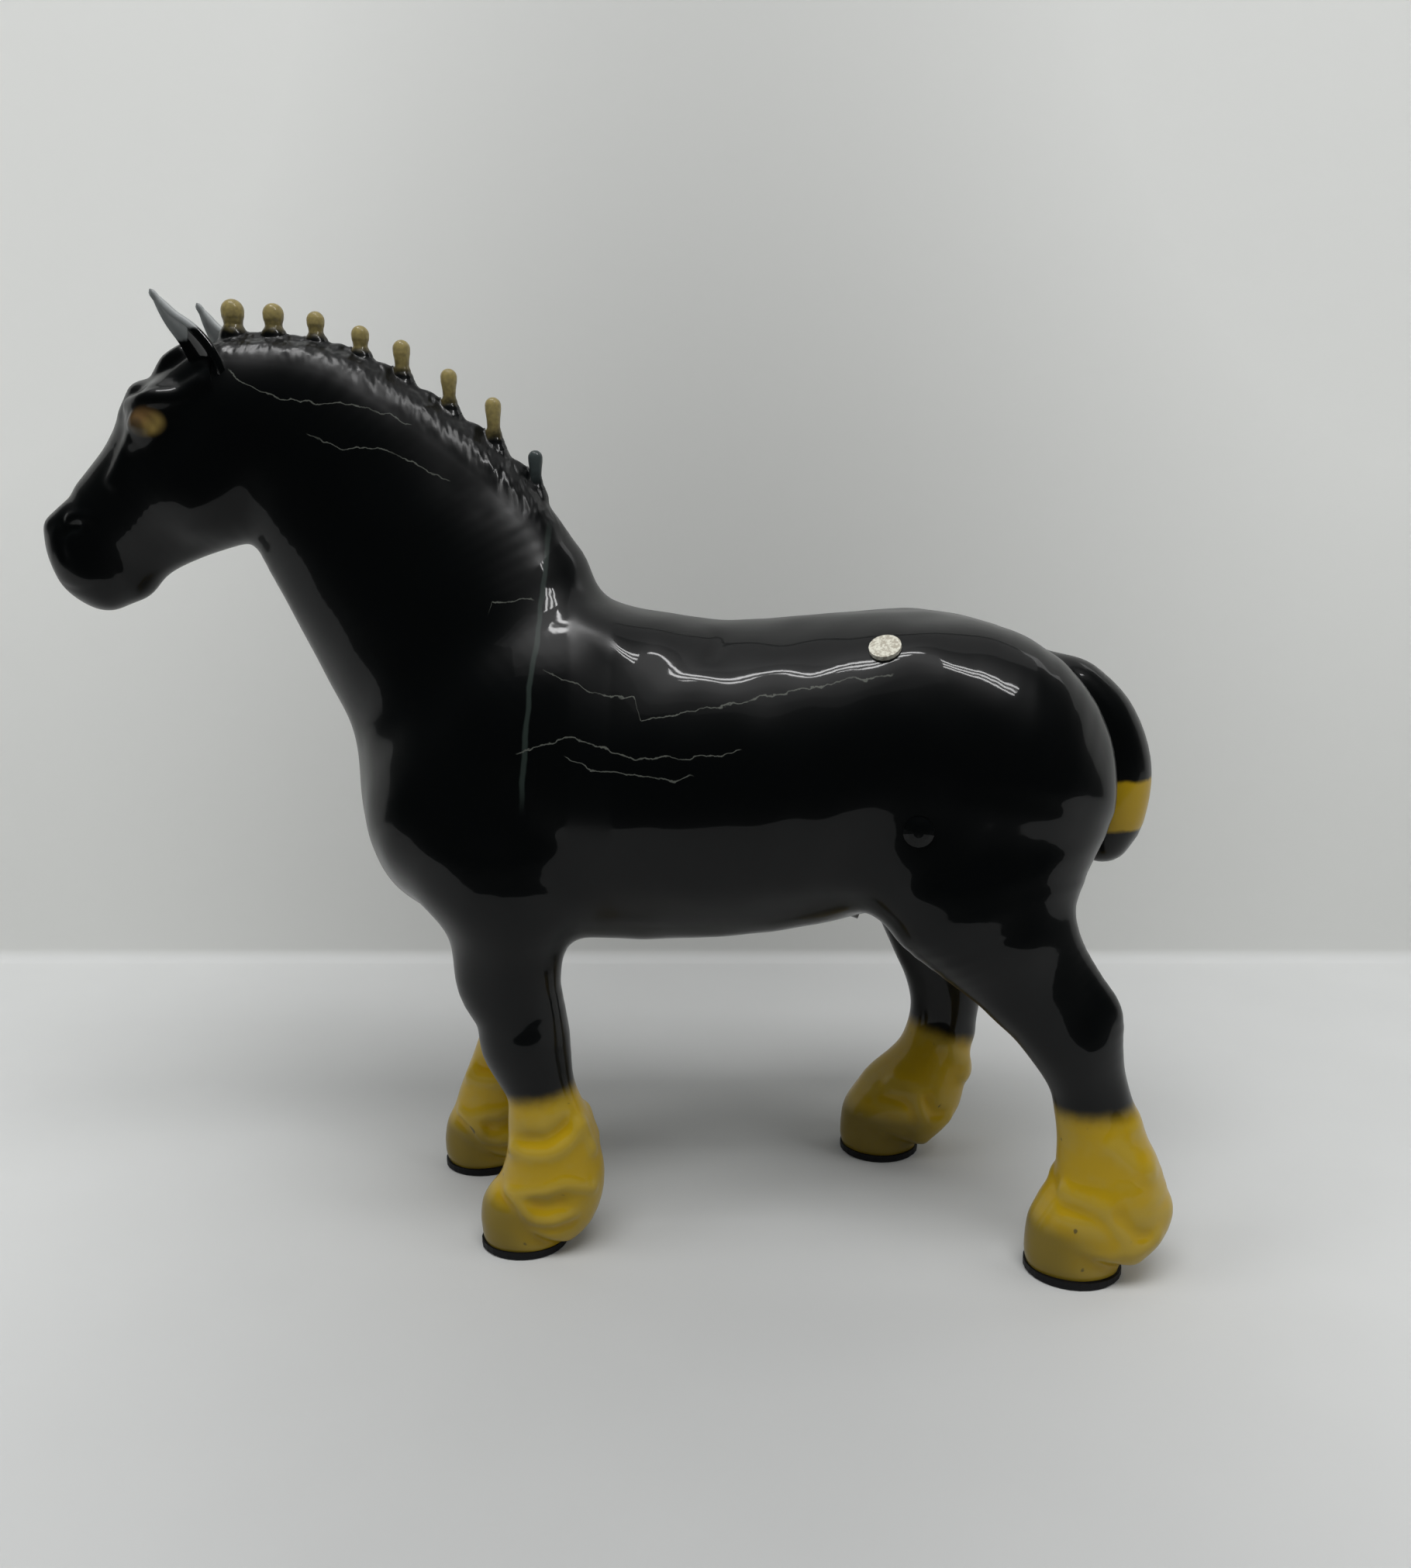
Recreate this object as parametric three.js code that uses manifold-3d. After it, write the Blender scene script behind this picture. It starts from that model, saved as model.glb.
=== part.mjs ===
// Glazed ceramic draught-horse figurine, assembled the way slip-cast ware is: a hollow trunk,
// neck and head, solid legs, and small applied pieces for the ears, mane, tail and soles.
// Frame, in millimetres: head towards -X, near side towards -Y, up +Z, and the soles on Z = 0.
import * as THREE from 'three';
import { mergeVertices } from 'three/addons/utils/BufferGeometryUtils.js';
import Module from 'manifold-3d';

// Driving dimensions
const WALL = 4.5;                  // cast wall of the hollow pieces
const SLIP_GAP = 0.3;              // joint left for the slip that sticks two pieces together
const VENT_DIAMETER = 3;           // air hole under the belly
const VENT_X = 30;
const FORE_JOINT_HEIGHT = 70;      // level where the fore legs are stuck on
const HIND_JOINT_HEIGHT = 77;      // level where the hind legs are stuck on
const FORE_STANCE = 41;            // between the centres of the fore legs
const HIND_STANCE = 61;            // between the centres of the hind legs
const BARREL_WIDTH = 75;
const SOLE_THICKNESS = 1.9;
const SOLE_LIP = 0.5;              // how far a sole stands out round its hoof
const SOLE_BEVEL = 0.4;
const EAR_WIDTH = 9;
const EAR_THICKNESS = 1.5;
const EAR_CUP = 2.4;               // depth of the hollow in an ear
const PLAIT_RADIUS = 2.4;
const PLAIT_LUMP = 0.6;            // how far each knot of the plait swells
const PLAIT_LIFT = -0.6;           // from the crest up to the middle of the plait, which is bedded in it
const BOBBLE_STEM = 1.6;           // from the top of the plait up to the ball
const BOBBLE_HEAD_RADIUS = 2.25;
const BOBBLE_NECK_RADIUS = 1.35;
const BOBBLE_FOOT_RADIUS = 1.9;
const TAIL_WIDTH = 19;
const PLUG_DIAMETER = 7;
const PLUG_THICKNESS = 2.2;
const PLUG_CROWN = 0.1;
const STUD_DIAMETER = 6.6;
const STUD_THICKNESS = 2.6;
const STUD_CROWN = 0.8;
const MOAT_WIDTH = 0.6;            // ring of clearance round the plug and the stud
const MOAT_DEPTH = 1.6;

// Number of points round and steps along the meshes
const NECK_SPOKES = 28;
const HEAD_SPOKES = 26;
const LEG_SPOKES = 20;
const CAVITY_SPOKES = 16;
const TAIL_SPOKES = 16;
const NECK_RINGS = 14;
const NECK_HOLLOW_RINGS = 9;
const HEAD_RINGS = 15;
const HEAD_HOLLOW_RINGS = 8;       // the hollow ends behind the eyes
const LEG_RINGS = 21;

// Swept forms. A row is x, y, z of the spine, then the half width across the body and the half
// depth in the side view, square to the spine.
const foreY = FORE_STANCE / 2;
const hindY = HIND_STANCE / 2;
const barrelHalf = BARREL_WIDTH / 2;

const BARREL = [
  [-40, 0, 103, barrelHalf - 20.5, 20], [-29, 0, 105.5, barrelHalf - 11.5, 28.5],
  [-8, 0, 107, barrelHalf - 4, 35.6], [14, 0, 107.6, barrelHalf - 1, 37.1],
  [38, 0, 109.3, barrelHalf, 36.5], [62, 0, 113.4, barrelHalf - 1, 34],
  [78, 0, 115, barrelHalf - 4, 30.5], [87, 0, 114, barrelHalf - 13, 23.5],
];
const BREAST = [[-39, -9, 94, 11, 11.5], [-39.2, -9, 107, 12, 12]];
const SHOULDER = [[-3, -12, 136, 10, 11], [-18, -18, 124, 12, 15], [-34, -19, 106, 12, 13.5]];
const UPPER_ARM = [[-37, -20, 101, 12, 12], [-27, -23, 92, 12.5, 13], [-20, -23, 84, 11, 12]];
const WITHERS = [[-17, 0, 143, 9, 13], [-4, 0, 138.8, 11, 8.4], [11, 0, 137, 14, 7]];
const HAUNCH = [[70, -15, 121, 19, 23], [85, -15.5, 118, 19.5, 24], [95, -14, 112, 16, 19.5]];
const THIGH = [[86, -20, 108, 17, 25], [83.6, -25, 92, 13, 20], [86.4, -28, 80, 10, 14.5]];
const STIFLE = [[68, -26, 94, 9, 10], [73, -28, 85, 9, 9]];
const NECK = [
  [-25.5, 0, 122.5, 24, 30.6], [-38, 0, 146.6, 20, 30.8], [-53.2, 0, 168, 16, 27],
  [-65.6, 0, 183.4, 14, 22.2], [-80, 0, 190, 12.5, 17],
];
const CREST = [
  [-14, 0, 156.6, 8.5, 8.4], [-28.4, 0, 175.2, 7.5, 8.6], [-48, 0, 188.2, 7.5, 9],
  [-66, 0, 196.5, 7.5, 8], [-84, 0, 199.5, 7.5, 6],
];
const SKULL = [
  [-84, 0, 190, 12.5, 15], [-92, 0, 182.5, 13.2, 18], [-101, 0, 174, 11.5, 14.6],
  [-109, 0, 167, 9.6, 11.5], [-117, 0, 161, 8.6, 9.5],
];
const CHEEK = [[-90, -7, 177, 7, 12], [-87, -7, 174.5, 7, 11]];
const ORBIT = [[-95.5, -10.3, 192.5, 4, 4.4], [-98.5, -11, 189, 4, 4.2]];
const FACE = [
  [-90, 0, 197, 8.5, 5.5], [-98.5, 0, 190.5, 9, 5.5], [-106.3, 0, 181.2, 6.8, 5],
  [-115, 0, 172.5, 6, 5.5],
];
const MUZZLE = [[-119.8, 0, 163.6, 8, 7], [-118.1, 0, 157.2, 8, 7]];
const CHIN = [[-114.5, 0, 153.4, 6.5, 5.3], [-109.5, 0, 155, 6, 5]];
const JAW = [[-84, 0, 172, 9, 8], [-98, 0, 165, 6.5, 6], [-108, 0, 159, 5.5, 5]];

const NEAR_FORE_LEG = [
  [-24, -foreY, 94, 12.5, 14], [-24, -foreY, 84, 11.5, 12.5], [-23, -foreY, 77, 10.8, 12.2],
  [-22.4, -foreY, 66, 10, 11.8], [-20, -foreY, 58, 9.2, 10.4], [-19, -foreY, 51, 9.5, 10.2],
  [-17.4, -foreY, 45, 8.6, 9.1], [-15.7, -foreY, 39, 7.8, 8], [-14.6, -foreY, 33, 8.4, 9.1],
  [-13.5, -foreY + 0.5, 26, 9.8, 10.5], [-13.3, -foreY + 1, 18.5, 11, 11.8],
  [-14.7, -foreY + 1.5, 12.5, 11.4, 11.9], [-16.7, -foreY + 1.5, 9, 11, 11.3],
];
const NEAR_FORE_HOOF = [
  [-20.4, -foreY + 1.5, 8.5, 9, 10.2], [-20.6, -foreY + 1.5, 5, 9, 10],
  [-19.5, -foreY + 1.5, 1.8, 7, 8.5], [-19.4, -foreY + 1.5, -2, 6.6, 8],
];
const OFF_FORE_LEG = [
  [-26, foreY, 94, 12.5, 14], [-27, foreY, 84, 11.5, 12.5], [-27.5, foreY, 77, 10.8, 12.2],
  [-28, foreY, 66, 10, 11.2], [-28, foreY, 58, 9.2, 9.8], [-27.8, foreY, 51, 9.5, 9.7],
  [-27.9, foreY, 45, 8.6, 8.8], [-28.4, foreY, 39, 7.8, 7.8], [-28.9, foreY, 33, 8.4, 8.7],
  [-29.8, foreY + 0.5, 26, 9.8, 10.2], [-31.2, foreY + 1, 18.5, 11, 11.6],
  [-32.7, foreY + 1.5, 12.5, 11.4, 11.8], [-34.2, foreY + 1.5, 9, 11, 11.5],
];
const OFF_FORE_HOOF = [
  [-36.4, foreY + 1.5, 8.5, 9, 10.2], [-36.8, foreY + 1.5, 5, 9, 10],
  [-36.6, foreY + 1.5, 1.8, 7, 8.5], [-36.6, foreY + 1.5, -2, 6.6, 8],
];
const NEAR_HIND_LEG = [
  [84, -hindY + 4, 88, 11.5, 18], [87, -hindY + 2, 79, 10, 14.8], [92.8, -hindY + 1, 70, 9.4, 12.5],
  [98.4, -hindY + 0.5, 62, 9, 10.5], [103.5, -hindY, 54, 9, 9.3], [107.1, -hindY, 46, 8.2, 8.4],
  [108.9, -hindY, 39.5, 8.4, 8.6], [110.8, -hindY, 33, 9.2, 9.6], [112, -hindY, 27, 10.4, 10.8],
  [113.2, -hindY, 20, 12, 13], [112.6, -hindY, 14, 12.4, 14.7], [111.4, -hindY, 9, 12, 13.9],
];
const NEAR_HOCK = [
  [97, -hindY + 1, 80, 3.5, 3.5], [105, -hindY + 0.5, 67.5, 4, 4], [109, -hindY + 0.5, 61, 4.6, 4.6],
  [109, -hindY + 0.3, 54, 4, 4],
];
const NEAR_HIND_HOOF = [
  [106.4, -hindY, 9, 10, 11], [106, -hindY, 5, 10.2, 10.9],
  [105.3, -hindY, 1.8, 8.2, 9.2], [105.2, -hindY, -2, 7.9, 8.7],
];
const OFF_HIND_LEG = [
  [80, hindY - 4, 88, 11.5, 18], [79, hindY - 3, 79, 10, 15.5], [80, hindY - 2, 70, 9.4, 13],
  [82.3, hindY - 1.5, 62, 9, 11.6], [84.6, hindY - 1, 54, 9, 10.5], [85.9, hindY - 0.5, 46, 8.2, 9.5],
  [85.9, hindY, 39.5, 8.4, 8.8], [85, hindY, 33, 9.2, 8.9], [83.2, hindY, 26, 10.4, 9.9],
  [80, hindY, 19, 12, 12.2], [76.5, hindY, 13.5, 12.6, 13.8], [74.5, hindY, 9, 12.4, 13.8],
];
const OFF_HOCK = [
  [87, hindY - 2.5, 80, 3.5, 3.5], [92, hindY - 1.5, 67.5, 4, 4], [94, hindY - 1, 61, 4.6, 4.6],
  [92.5, hindY - 1, 54, 4, 4],
];
const OFF_HIND_HOOF = [
  [69.8, hindY, 9, 9.6, 10.7], [69.4, hindY, 5, 9.8, 10.4],
  [69, hindY, 1.8, 8, 8.9], [69, hindY, -2, 7.6, 8.5],
];
const TAIL = [
  [99, 0, 133.5, TAIL_WIDTH / 2 - 3.5, 5.4], [108.4, 0, 129.7, TAIL_WIDTH / 2 - 2, 6.6],
  [115.4, 0, 120.6, TAIL_WIDTH / 2 - 0.5, 8], [118.4, 0, 110.5, TAIL_WIDTH / 2, 8.5],
  [118, 0, 100.6, TAIL_WIDTH / 2 - 0.4, 8.1], [116.6, 0, 94.8, TAIL_WIDTH / 2 - 2, 6.6],
];

// Where each bobble stands along X, from the poll to the withers
const BOBBLE_X = [-82.3, -73.4, -64, -54.4, -45.2, -35, -25.6, -16.6];

const NECK_BASE = { x: -34, z: 136, lean: 48.9 };     // joint between trunk and neck
const THROAT = { x: -81, z: 184, lean: 101 };         // joint between neck and head
const PLUG_PLACE = { x: 60.6, lean: 38.5 };            // degrees from upright, towards the near side
const STUD_PLACE = { x: 66.8, lean: 99 };

const radians = (degrees) => degrees * Math.PI / 180;
const mirrored = (rows) => rows.map(([x, y, ...rest]) => [x, -y, ...rest]);

// Catmull-Rom refinement of a form's rows, one step about every STATION_STEP mm
const STATION_STEP = 3;
function refine(rows) {
  const extrapolate = (a, b) => a.map((value, i) => 2 * value - b[i]);
  const count = rows.length;
  const points = [extrapolate(rows[0], rows[1]), ...rows, extrapolate(rows[count - 1], rows[count - 2])];
  const result = [rows[0]];
  for (let i = 1; i < count; i += 1) {
    const [p0, p1, p2, p3] = points.slice(i - 1, i + 3);
    const span = Math.hypot(p2[0] - p1[0], p2[1] - p1[1], p2[2] - p1[2]);
    const steps = Math.max(1, Math.ceil(span / STATION_STEP));
    for (let step = 1; step <= steps; step += 1) {
      const t = step / steps;
      result.push(p1.map((_, k) => 0.5 * (2 * p1[k] + (p2[k] - p0[k]) * t
        + (2 * p0[k] - 5 * p1[k] + 4 * p2[k] - p3[k]) * t * t
        + (3 * p1[k] - p0[k] - 3 * p2[k] + p3[k]) * t * t * t)));
    }
  }
  return result;
}

// One swept form: near its surface the value is the distance to it, negative inside
class Form {
  constructor(blend, rows, ends = 1) {
    this.blend = 2 * blend;
    this.ends = ends;
    this.box = new THREE.Box3();
    const stations = refine(rows);
    this.segments = stations.slice(1).map((to, i) => this.segment(stations[i], to));
  }

  segment(from, to) {
    const start = new THREE.Vector3(...from);
    const end = new THREE.Vector3(...to);
    const along = end.clone().sub(start);
    const length = along.length();
    along.divideScalar(length);
    const across = new THREE.Vector3(0, 1, 0);
    across.addScaledVector(along, -along.y).normalize();
    const deep = new THREE.Vector3().crossVectors(along, across);
    for (const [point, row] of [[start, from], [end, to]]) {
      const reach = Math.max(row[3], row[4]);
      this.box.expandByPoint(point.clone().addScalar(reach));
      this.box.expandByPoint(point.clone().addScalar(-reach));
    }
    return { start, along, across, deep, length, from, to };
  }

  distance(x, y, z) {
    let least = Infinity;
    for (const s of this.segments) {
      const rx = x - s.start.x;
      const ry = y - s.start.y;
      const rz = z - s.start.z;
      const w = rx * s.along.x + ry * s.along.y + rz * s.along.z;
      const u = rx * s.across.x + ry * s.across.y + rz * s.across.z;
      const v = rx * s.deep.x + ry * s.deep.y + rz * s.deep.z;
      const t = Math.min(1, Math.max(0, w / s.length));
      const over = w - t * s.length;
      const a = s.from[3] + (s.to[3] - s.from[3]) * t;
      const b = s.from[4] + (s.to[4] - s.from[4]) * t;
      const e = Math.min(a, b) * this.ends;
      const scaled = Math.hypot(u / a, v / b, over / e);
      const slope = Math.hypot(u / a / a, v / b / b, over / e / e);
      const value = scaled > 1e-6 ? scaled * (scaled - 1) / slope : -e;
      least = Math.min(least, value);
    }
    return least;
  }
}

// Forms melt into each other: a cubic smooth union over the form's blend
function smoothUnion(a, b, blend) {
  const h = Math.max(blend - Math.abs(a - b), 0) / blend;
  return Math.min(a, b) - h * h * h * blend / 6;
}

function modelled(forms) {
  const point = new THREE.Vector3();
  return (x, y, z) => {
    point.set(x, y, z);
    return forms.reduce((value, form) => {
      const outside = form.box.distanceToPoint(point);
      return outside > value + form.blend ? value : smoothUnion(value, form.distance(x, y, z), form.blend);
    }, 20);
  };
}

const bothSides = (blend, rows) => [new Form(blend, rows), new Form(blend, mirrored(rows))];
const LEG_BLEND = 5;
const LEG_ENDS = 0.3;              // the feather ends in a flatter cap than a ball
const HOCK_BLEND = 4;
const HOOF_BLEND = 1.6;
const bodyForms = [
  new Form(6, BARREL), ...bothSides(8, BREAST), ...bothSides(8, SHOULDER), ...bothSides(8, UPPER_ARM),
  new Form(8, WITHERS), ...bothSides(8, HAUNCH), ...bothSides(8, THIGH), ...bothSides(8, STIFLE),
  new Form(7, NECK), new Form(5, CREST), new Form(5, SKULL), ...bothSides(4, CHEEK), ...bothSides(3, ORBIT),
  new Form(3.5, FACE), new Form(3.5, MUZZLE), new Form(3.5, CHIN), new Form(4, JAW),
];
const legForms = [
  new Form(LEG_BLEND, NEAR_FORE_LEG, LEG_ENDS), new Form(HOOF_BLEND, NEAR_FORE_HOOF),
  new Form(LEG_BLEND, OFF_FORE_LEG, LEG_ENDS), new Form(HOOF_BLEND, OFF_FORE_HOOF),
  new Form(LEG_BLEND, NEAR_HIND_LEG, LEG_ENDS), new Form(HOCK_BLEND, NEAR_HOCK),
  new Form(HOOF_BLEND, NEAR_HIND_HOOF), new Form(LEG_BLEND, OFF_HIND_LEG, LEG_ENDS),
  new Form(HOCK_BLEND, OFF_HOCK), new Form(HOOF_BLEND, OFF_HIND_HOOF),
];
const horse = modelled([...bodyForms, ...legForms]);
const bodyOnly = modelled(bodyForms);
const tailForm = modelled([new Form(1, TAIL)]);

// Signed distance past a joint plane: positive on the head side of it
function past(joint, x, z) {
  const lean = radians(joint.lean);
  return (x - joint.x) * -Math.sin(lean) + (z - joint.z) * Math.cos(lean);
}

// A ring of rays round one point of a spine. Its plane holds Y and the direction that leans by
// `lean` degrees from +X towards +Z; `tilt` opens the rays into a cone about the spine.
function ring(x, y, z, lean, tilt = 0) {
  const angle = radians(lean);
  return {
    centre: new THREE.Vector3(x, y, z),
    across: new THREE.Vector3(0, 1, 0),
    deep: new THREE.Vector3(Math.cos(angle), 0, Math.sin(angle)),
    along: new THREE.Vector3(Math.sin(angle), 0, -Math.cos(angle)),
    tilt: radians(tilt),
  };
}

const RAY_LIMIT = 60;
const RAY_BISECTIONS = 14;
const LEAST_STRIDE = 0.4;
const STRIDE_SHARE = 0.7;          // of the distance left, because the field is only near to a distance
const LEAST_RAY = 0.05;
function rayLength(field, origin, direction, level) {
  const value = (r) => field(
    origin.x + direction.x * r,
    origin.y + direction.y * r,
    origin.z + direction.z * r,
  ) - level;
  let inside = 0;
  let outside = 0;
  while (outside < RAY_LIMIT) {
    const depth = value(outside);
    if (depth >= 0) break;
    inside = outside;
    outside += Math.max(LEAST_STRIDE, -depth * STRIDE_SHARE);
  }
  for (let i = 0; i < RAY_BISECTIONS; i += 1) {
    const middle = (inside + outside) / 2;
    if (value(middle) < 0) inside = middle;
    else outside = middle;
  }
  return Math.max(inside, LEAST_RAY);
}

// Skin through the points where the rays of each ring leave the field at `level`, closed by a
// point on the axis of the first and last ring
function castPoints(field, rings, spokes, level = 0) {
  return rings.map(({ centre, across, deep, along, tilt }) => Array.from({ length: spokes }, (_, k) => {
    const turn = 2 * Math.PI * k / spokes;
    const direction = across.clone().multiplyScalar(Math.cos(turn) * Math.cos(tilt));
    direction.addScaledVector(deep, Math.sin(turn) * Math.cos(tilt));
    direction.addScaledVector(along, Math.sin(tilt));
    return centre.clone().addScaledVector(direction, rayLength(field, centre, direction, level));
  }));
}

function capPoint(field, { centre, along, tilt }, level) {
  if (tilt === 0) return centre.clone();
  const direction = along.clone().multiplyScalar(Math.sign(tilt));
  return centre.clone().addScaledVector(direction, rayLength(field, centre, direction, level));
}

function skin(rows, first, last) {
  const spokes = rows[0].length;
  const points = [...rows.flat(), first, last];
  const faces = [];
  for (let k = 0; k < spokes; k += 1) {
    const next = (k + 1) % spokes;
    for (let j = 0; j < rows.length - 1; j += 1) {
      const a = j * spokes + k;
      const b = j * spokes + next;
      faces.push([a, b, a + spokes], [b, b + spokes, a + spokes]);
    }
    const end = (rows.length - 1) * spokes;
    faces.push([points.length - 2, next, k], [points.length - 1, end + k, end + next]);
  }
  return facingOut(points, faces);
}

function facingOut(points, faces) {
  const volume = faces.reduce((sum, [a, b, c]) => (
    sum + points[a].dot(new THREE.Vector3().crossVectors(points[b], points[c]))), 0);
  const ordered = volume > 0 ? faces : faces.map(([a, b, c]) => [a, c, b]);
  const geometry = new THREE.BufferGeometry();
  geometry.setAttribute('position', new THREE.Float32BufferAttribute(points.flatMap((p) => p.toArray()), 3));
  geometry.setIndex(ordered.flat());
  return geometry;
}

function cast(field, rings, spokes, level = 0) {
  const first = capPoint(field, rings[0], level);
  const last = capPoint(field, rings[rings.length - 1], level);
  return skin(castPoints(field, rings, spokes, level), first, last);
}

// Skin over a field on a cubic grid, for a piece that branches: one point in each cell that the
// surface crosses, moved on to the surface, and one four-sided face round each crossed grid edge.
// The grid reaches two cells past the box, so that the skin closes
const CORNERS = [0, 1, 2, 3, 4, 5, 6, 7].map((n) => [n % 2, (n >> 1) % 2, n >> 2]);
const SETTLE_STEPS = 4;
const SETTLE_PROBE = 0.2;
const SETTLE_SHARE = 0.8;
function netted(field, box, cell, level = 0) {
  const low = box.low.map((value) => value - 2 * cell);
  const high = box.high.map((value) => value + 2 * cell);
  const count = low.map((value, k) => Math.ceil((high[k] - value) / cell) + 1);
  const place = (i, j, k) => [low[0] + i * cell, low[1] + j * cell, low[2] + k * cell];
  const index = (i, j, k) => (k * count[1] + j) * count[0] + i;
  const values = [];
  for (let k = 0; k < count[2]; k += 1) {
    for (let j = 0; j < count[1]; j += 1) {
      for (let i = 0; i < count[0]; i += 1) values.push(field(...place(i, j, k)) - level);
    }
  }
  const points = [];
  const owner = new Map();
  const settle = (point) => {
    for (let step = 0; step < SETTLE_STEPS; step += 1) {
      const at = (dx, dy, dz) => field(point.x + dx, point.y + dy, point.z + dz) - level;
      const h = SETTLE_PROBE;
      const slope = new THREE.Vector3(
        at(h, 0, 0) - at(-h, 0, 0),
        at(0, h, 0) - at(0, -h, 0),
        at(0, 0, h) - at(0, 0, -h),
      ).divideScalar(2 * h);
      const limit = cell / 4;
      const move = Math.max(-limit, Math.min(limit, -at(0, 0, 0) / Math.max(slope.lengthSq(), h)));
      point.addScaledVector(slope, move * SETTLE_SHARE);
    }
    return point;
  };
  const cellPoint = (i, j, k) => {
    const key = index(i, j, k);
    if (owner.has(key)) return owner.get(key);
    const sum = new THREE.Vector3();
    let crossings = 0;
    CORNERS.forEach((a, m) => CORNERS.forEach((b, n) => {
      if (n <= m || Math.abs(a[0] - b[0]) + Math.abs(a[1] - b[1]) + Math.abs(a[2] - b[2]) !== 1) return;
      const va = values[index(i + a[0], j + a[1], k + a[2])];
      const vb = values[index(i + b[0], j + b[1], k + b[2])];
      if ((va < 0) === (vb < 0)) return;
      const t = va / (va - vb);
      sum.add(new THREE.Vector3(...place(
        i + a[0] + (b[0] - a[0]) * t,
        j + a[1] + (b[1] - a[1]) * t,
        k + a[2] + (b[2] - a[2]) * t,
      )));
      crossings += 1;
    }));
    points.push(settle(sum.divideScalar(crossings)));
    owner.set(key, points.length - 1);
    return points.length - 1;
  };
  const faces = [];
  const quad = (inside, ...cells) => {
    const [a, b, c, d] = cells.map(([i, j, k]) => cellPoint(i, j, k));
    faces.push(...(inside ? [[a, b, c], [a, c, d]] : [[a, c, b], [a, d, c]]));
  };
  for (let k = 1; k < count[2] - 1; k += 1) {
    for (let j = 1; j < count[1] - 1; j += 1) {
      for (let i = 1; i < count[0] - 1; i += 1) {
        const inside = values[index(i, j, k)] < 0;
        if (inside !== values[index(i + 1, j, k)] < 0) {
          quad(inside, [i, j - 1, k - 1], [i, j, k - 1], [i, j, k], [i, j - 1, k]);
        }
        if (inside !== values[index(i, j + 1, k)] < 0) {
          quad(inside, [i - 1, j, k - 1], [i - 1, j, k], [i, j, k], [i, j, k - 1]);
        }
        if (inside !== values[index(i, j, k + 1)] < 0) {
          quad(inside, [i - 1, j - 1, k], [i, j - 1, k], [i, j, k], [i - 1, j, k]);
        }
      }
    }
  }
  return facingOut(points, faces);
}

// Joining and cutting
const wasm = await Module();
wasm.setup();

function solid(geometry) {
  const bare = geometry.index ? geometry.clone() : geometry.toNonIndexed();
  bare.deleteAttribute('normal');
  bare.deleteAttribute('uv');
  const merged = mergeVertices(bare, 1e-4);
  return new wasm.Manifold(new wasm.Mesh({
    numProp: 3,
    vertProperties: Float32Array.from(merged.attributes.position.array),
    triVerts: Uint32Array.from(merged.index.array),
  }));
}

function geometryOf(manifold) {
  const { vertProperties, triVerts } = manifold.getMesh();
  const geometry = new THREE.BufferGeometry();
  geometry.setAttribute('position', new THREE.Float32BufferAttribute(vertProperties, 3));
  geometry.setIndex(Array.from(triVerts));
  return geometry;
}

// A block that fills everything on the head side of a joint plane, from `offset` mm past it
const BLOCK = 200;
function headSideBlock(joint, offset) {
  const block = new THREE.BoxGeometry(BLOCK, BLOCK, BLOCK);
  const lean = radians(joint.lean);
  block.rotateY(-lean);
  const shift = offset + BLOCK / 2;
  block.translate(joint.x - Math.sin(lean) * shift, 0, joint.z + Math.cos(lean) * shift);
  return solid(block);
}

function boxBetween(low, high) {
  const box = new THREE.BoxGeometry(high[0] - low[0], high[1] - low[1], high[2] - low[2]);
  box.translate((low[0] + high[0]) / 2, (low[1] + high[1]) / 2, (low[2] + high[2]) / 2);
  return solid(box);
}

// Rings for each piece
function even(count, from, to) {
  return Array.from({ length: count }, (_, i) => from + (to - from) * i / (count - 1));
}
const between = (value, from, to, low, high) => low + (high - low) * (value - from) / (to - from);

// Cones that close a skin round its end, in degrees
const CLOSING_TILTS = [25, 50, 72];
// How far a hollow runs on past a joint, so that it opens cleanly there
const OVERRUN = 1;

// The hollow of the trunk fans from the neck joint to upright rings, and closes at the rump
const FAN_END = { x: 16, z: 107 };
const FAN_SAG = 9;
const FAN_RINGS = 6;
const BARREL_RINGS = 7;
const HOLLOW_END = { x: 84, z: 114 };
function hollowRings() {
  const fan = even(FAN_RINGS, 0, 0.9).map((t) => ring(
    between(t, 0, 1, NECK_BASE.x, FAN_END.x),
    0,
    between(t, 0, 1, NECK_BASE.z, FAN_END.z) - FAN_SAG * Math.sin(Math.PI * t),
    between(t, 0, 1, NECK_BASE.lean, 90),
  ));
  fan[0] = shifted(fan[0], -OVERRUN);
  const middle = even(BARREL_RINGS, FAN_END.x, HOLLOW_END.x)
    .map((x) => ring(x, 0, between(x, FAN_END.x, HOLLOW_END.x, FAN_END.z, HOLLOW_END.z), 90));
  const rear = CLOSING_TILTS.map((tilt) => ring(HOLLOW_END.x, 0, HOLLOW_END.z, 90, tilt));
  return [...fan, ...middle, ...rear];
}

const NECK_SPINE = new THREE.CatmullRomCurve3([
  new THREE.Vector3(NECK_BASE.x, 0, NECK_BASE.z), new THREE.Vector3(-50, 0, 160),
  new THREE.Vector3(-66, 0, 177), new THREE.Vector3(THROAT.x, 0, THROAT.z),
]);

function neckRings(count) {
  return even(count, 0, 1).map((t) => {
    const point = NECK_SPINE.getPoint(t);
    return ring(point.x, 0, point.z, NECK_BASE.lean + (THROAT.lean - NECK_BASE.lean) * t);
  });
}

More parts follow.
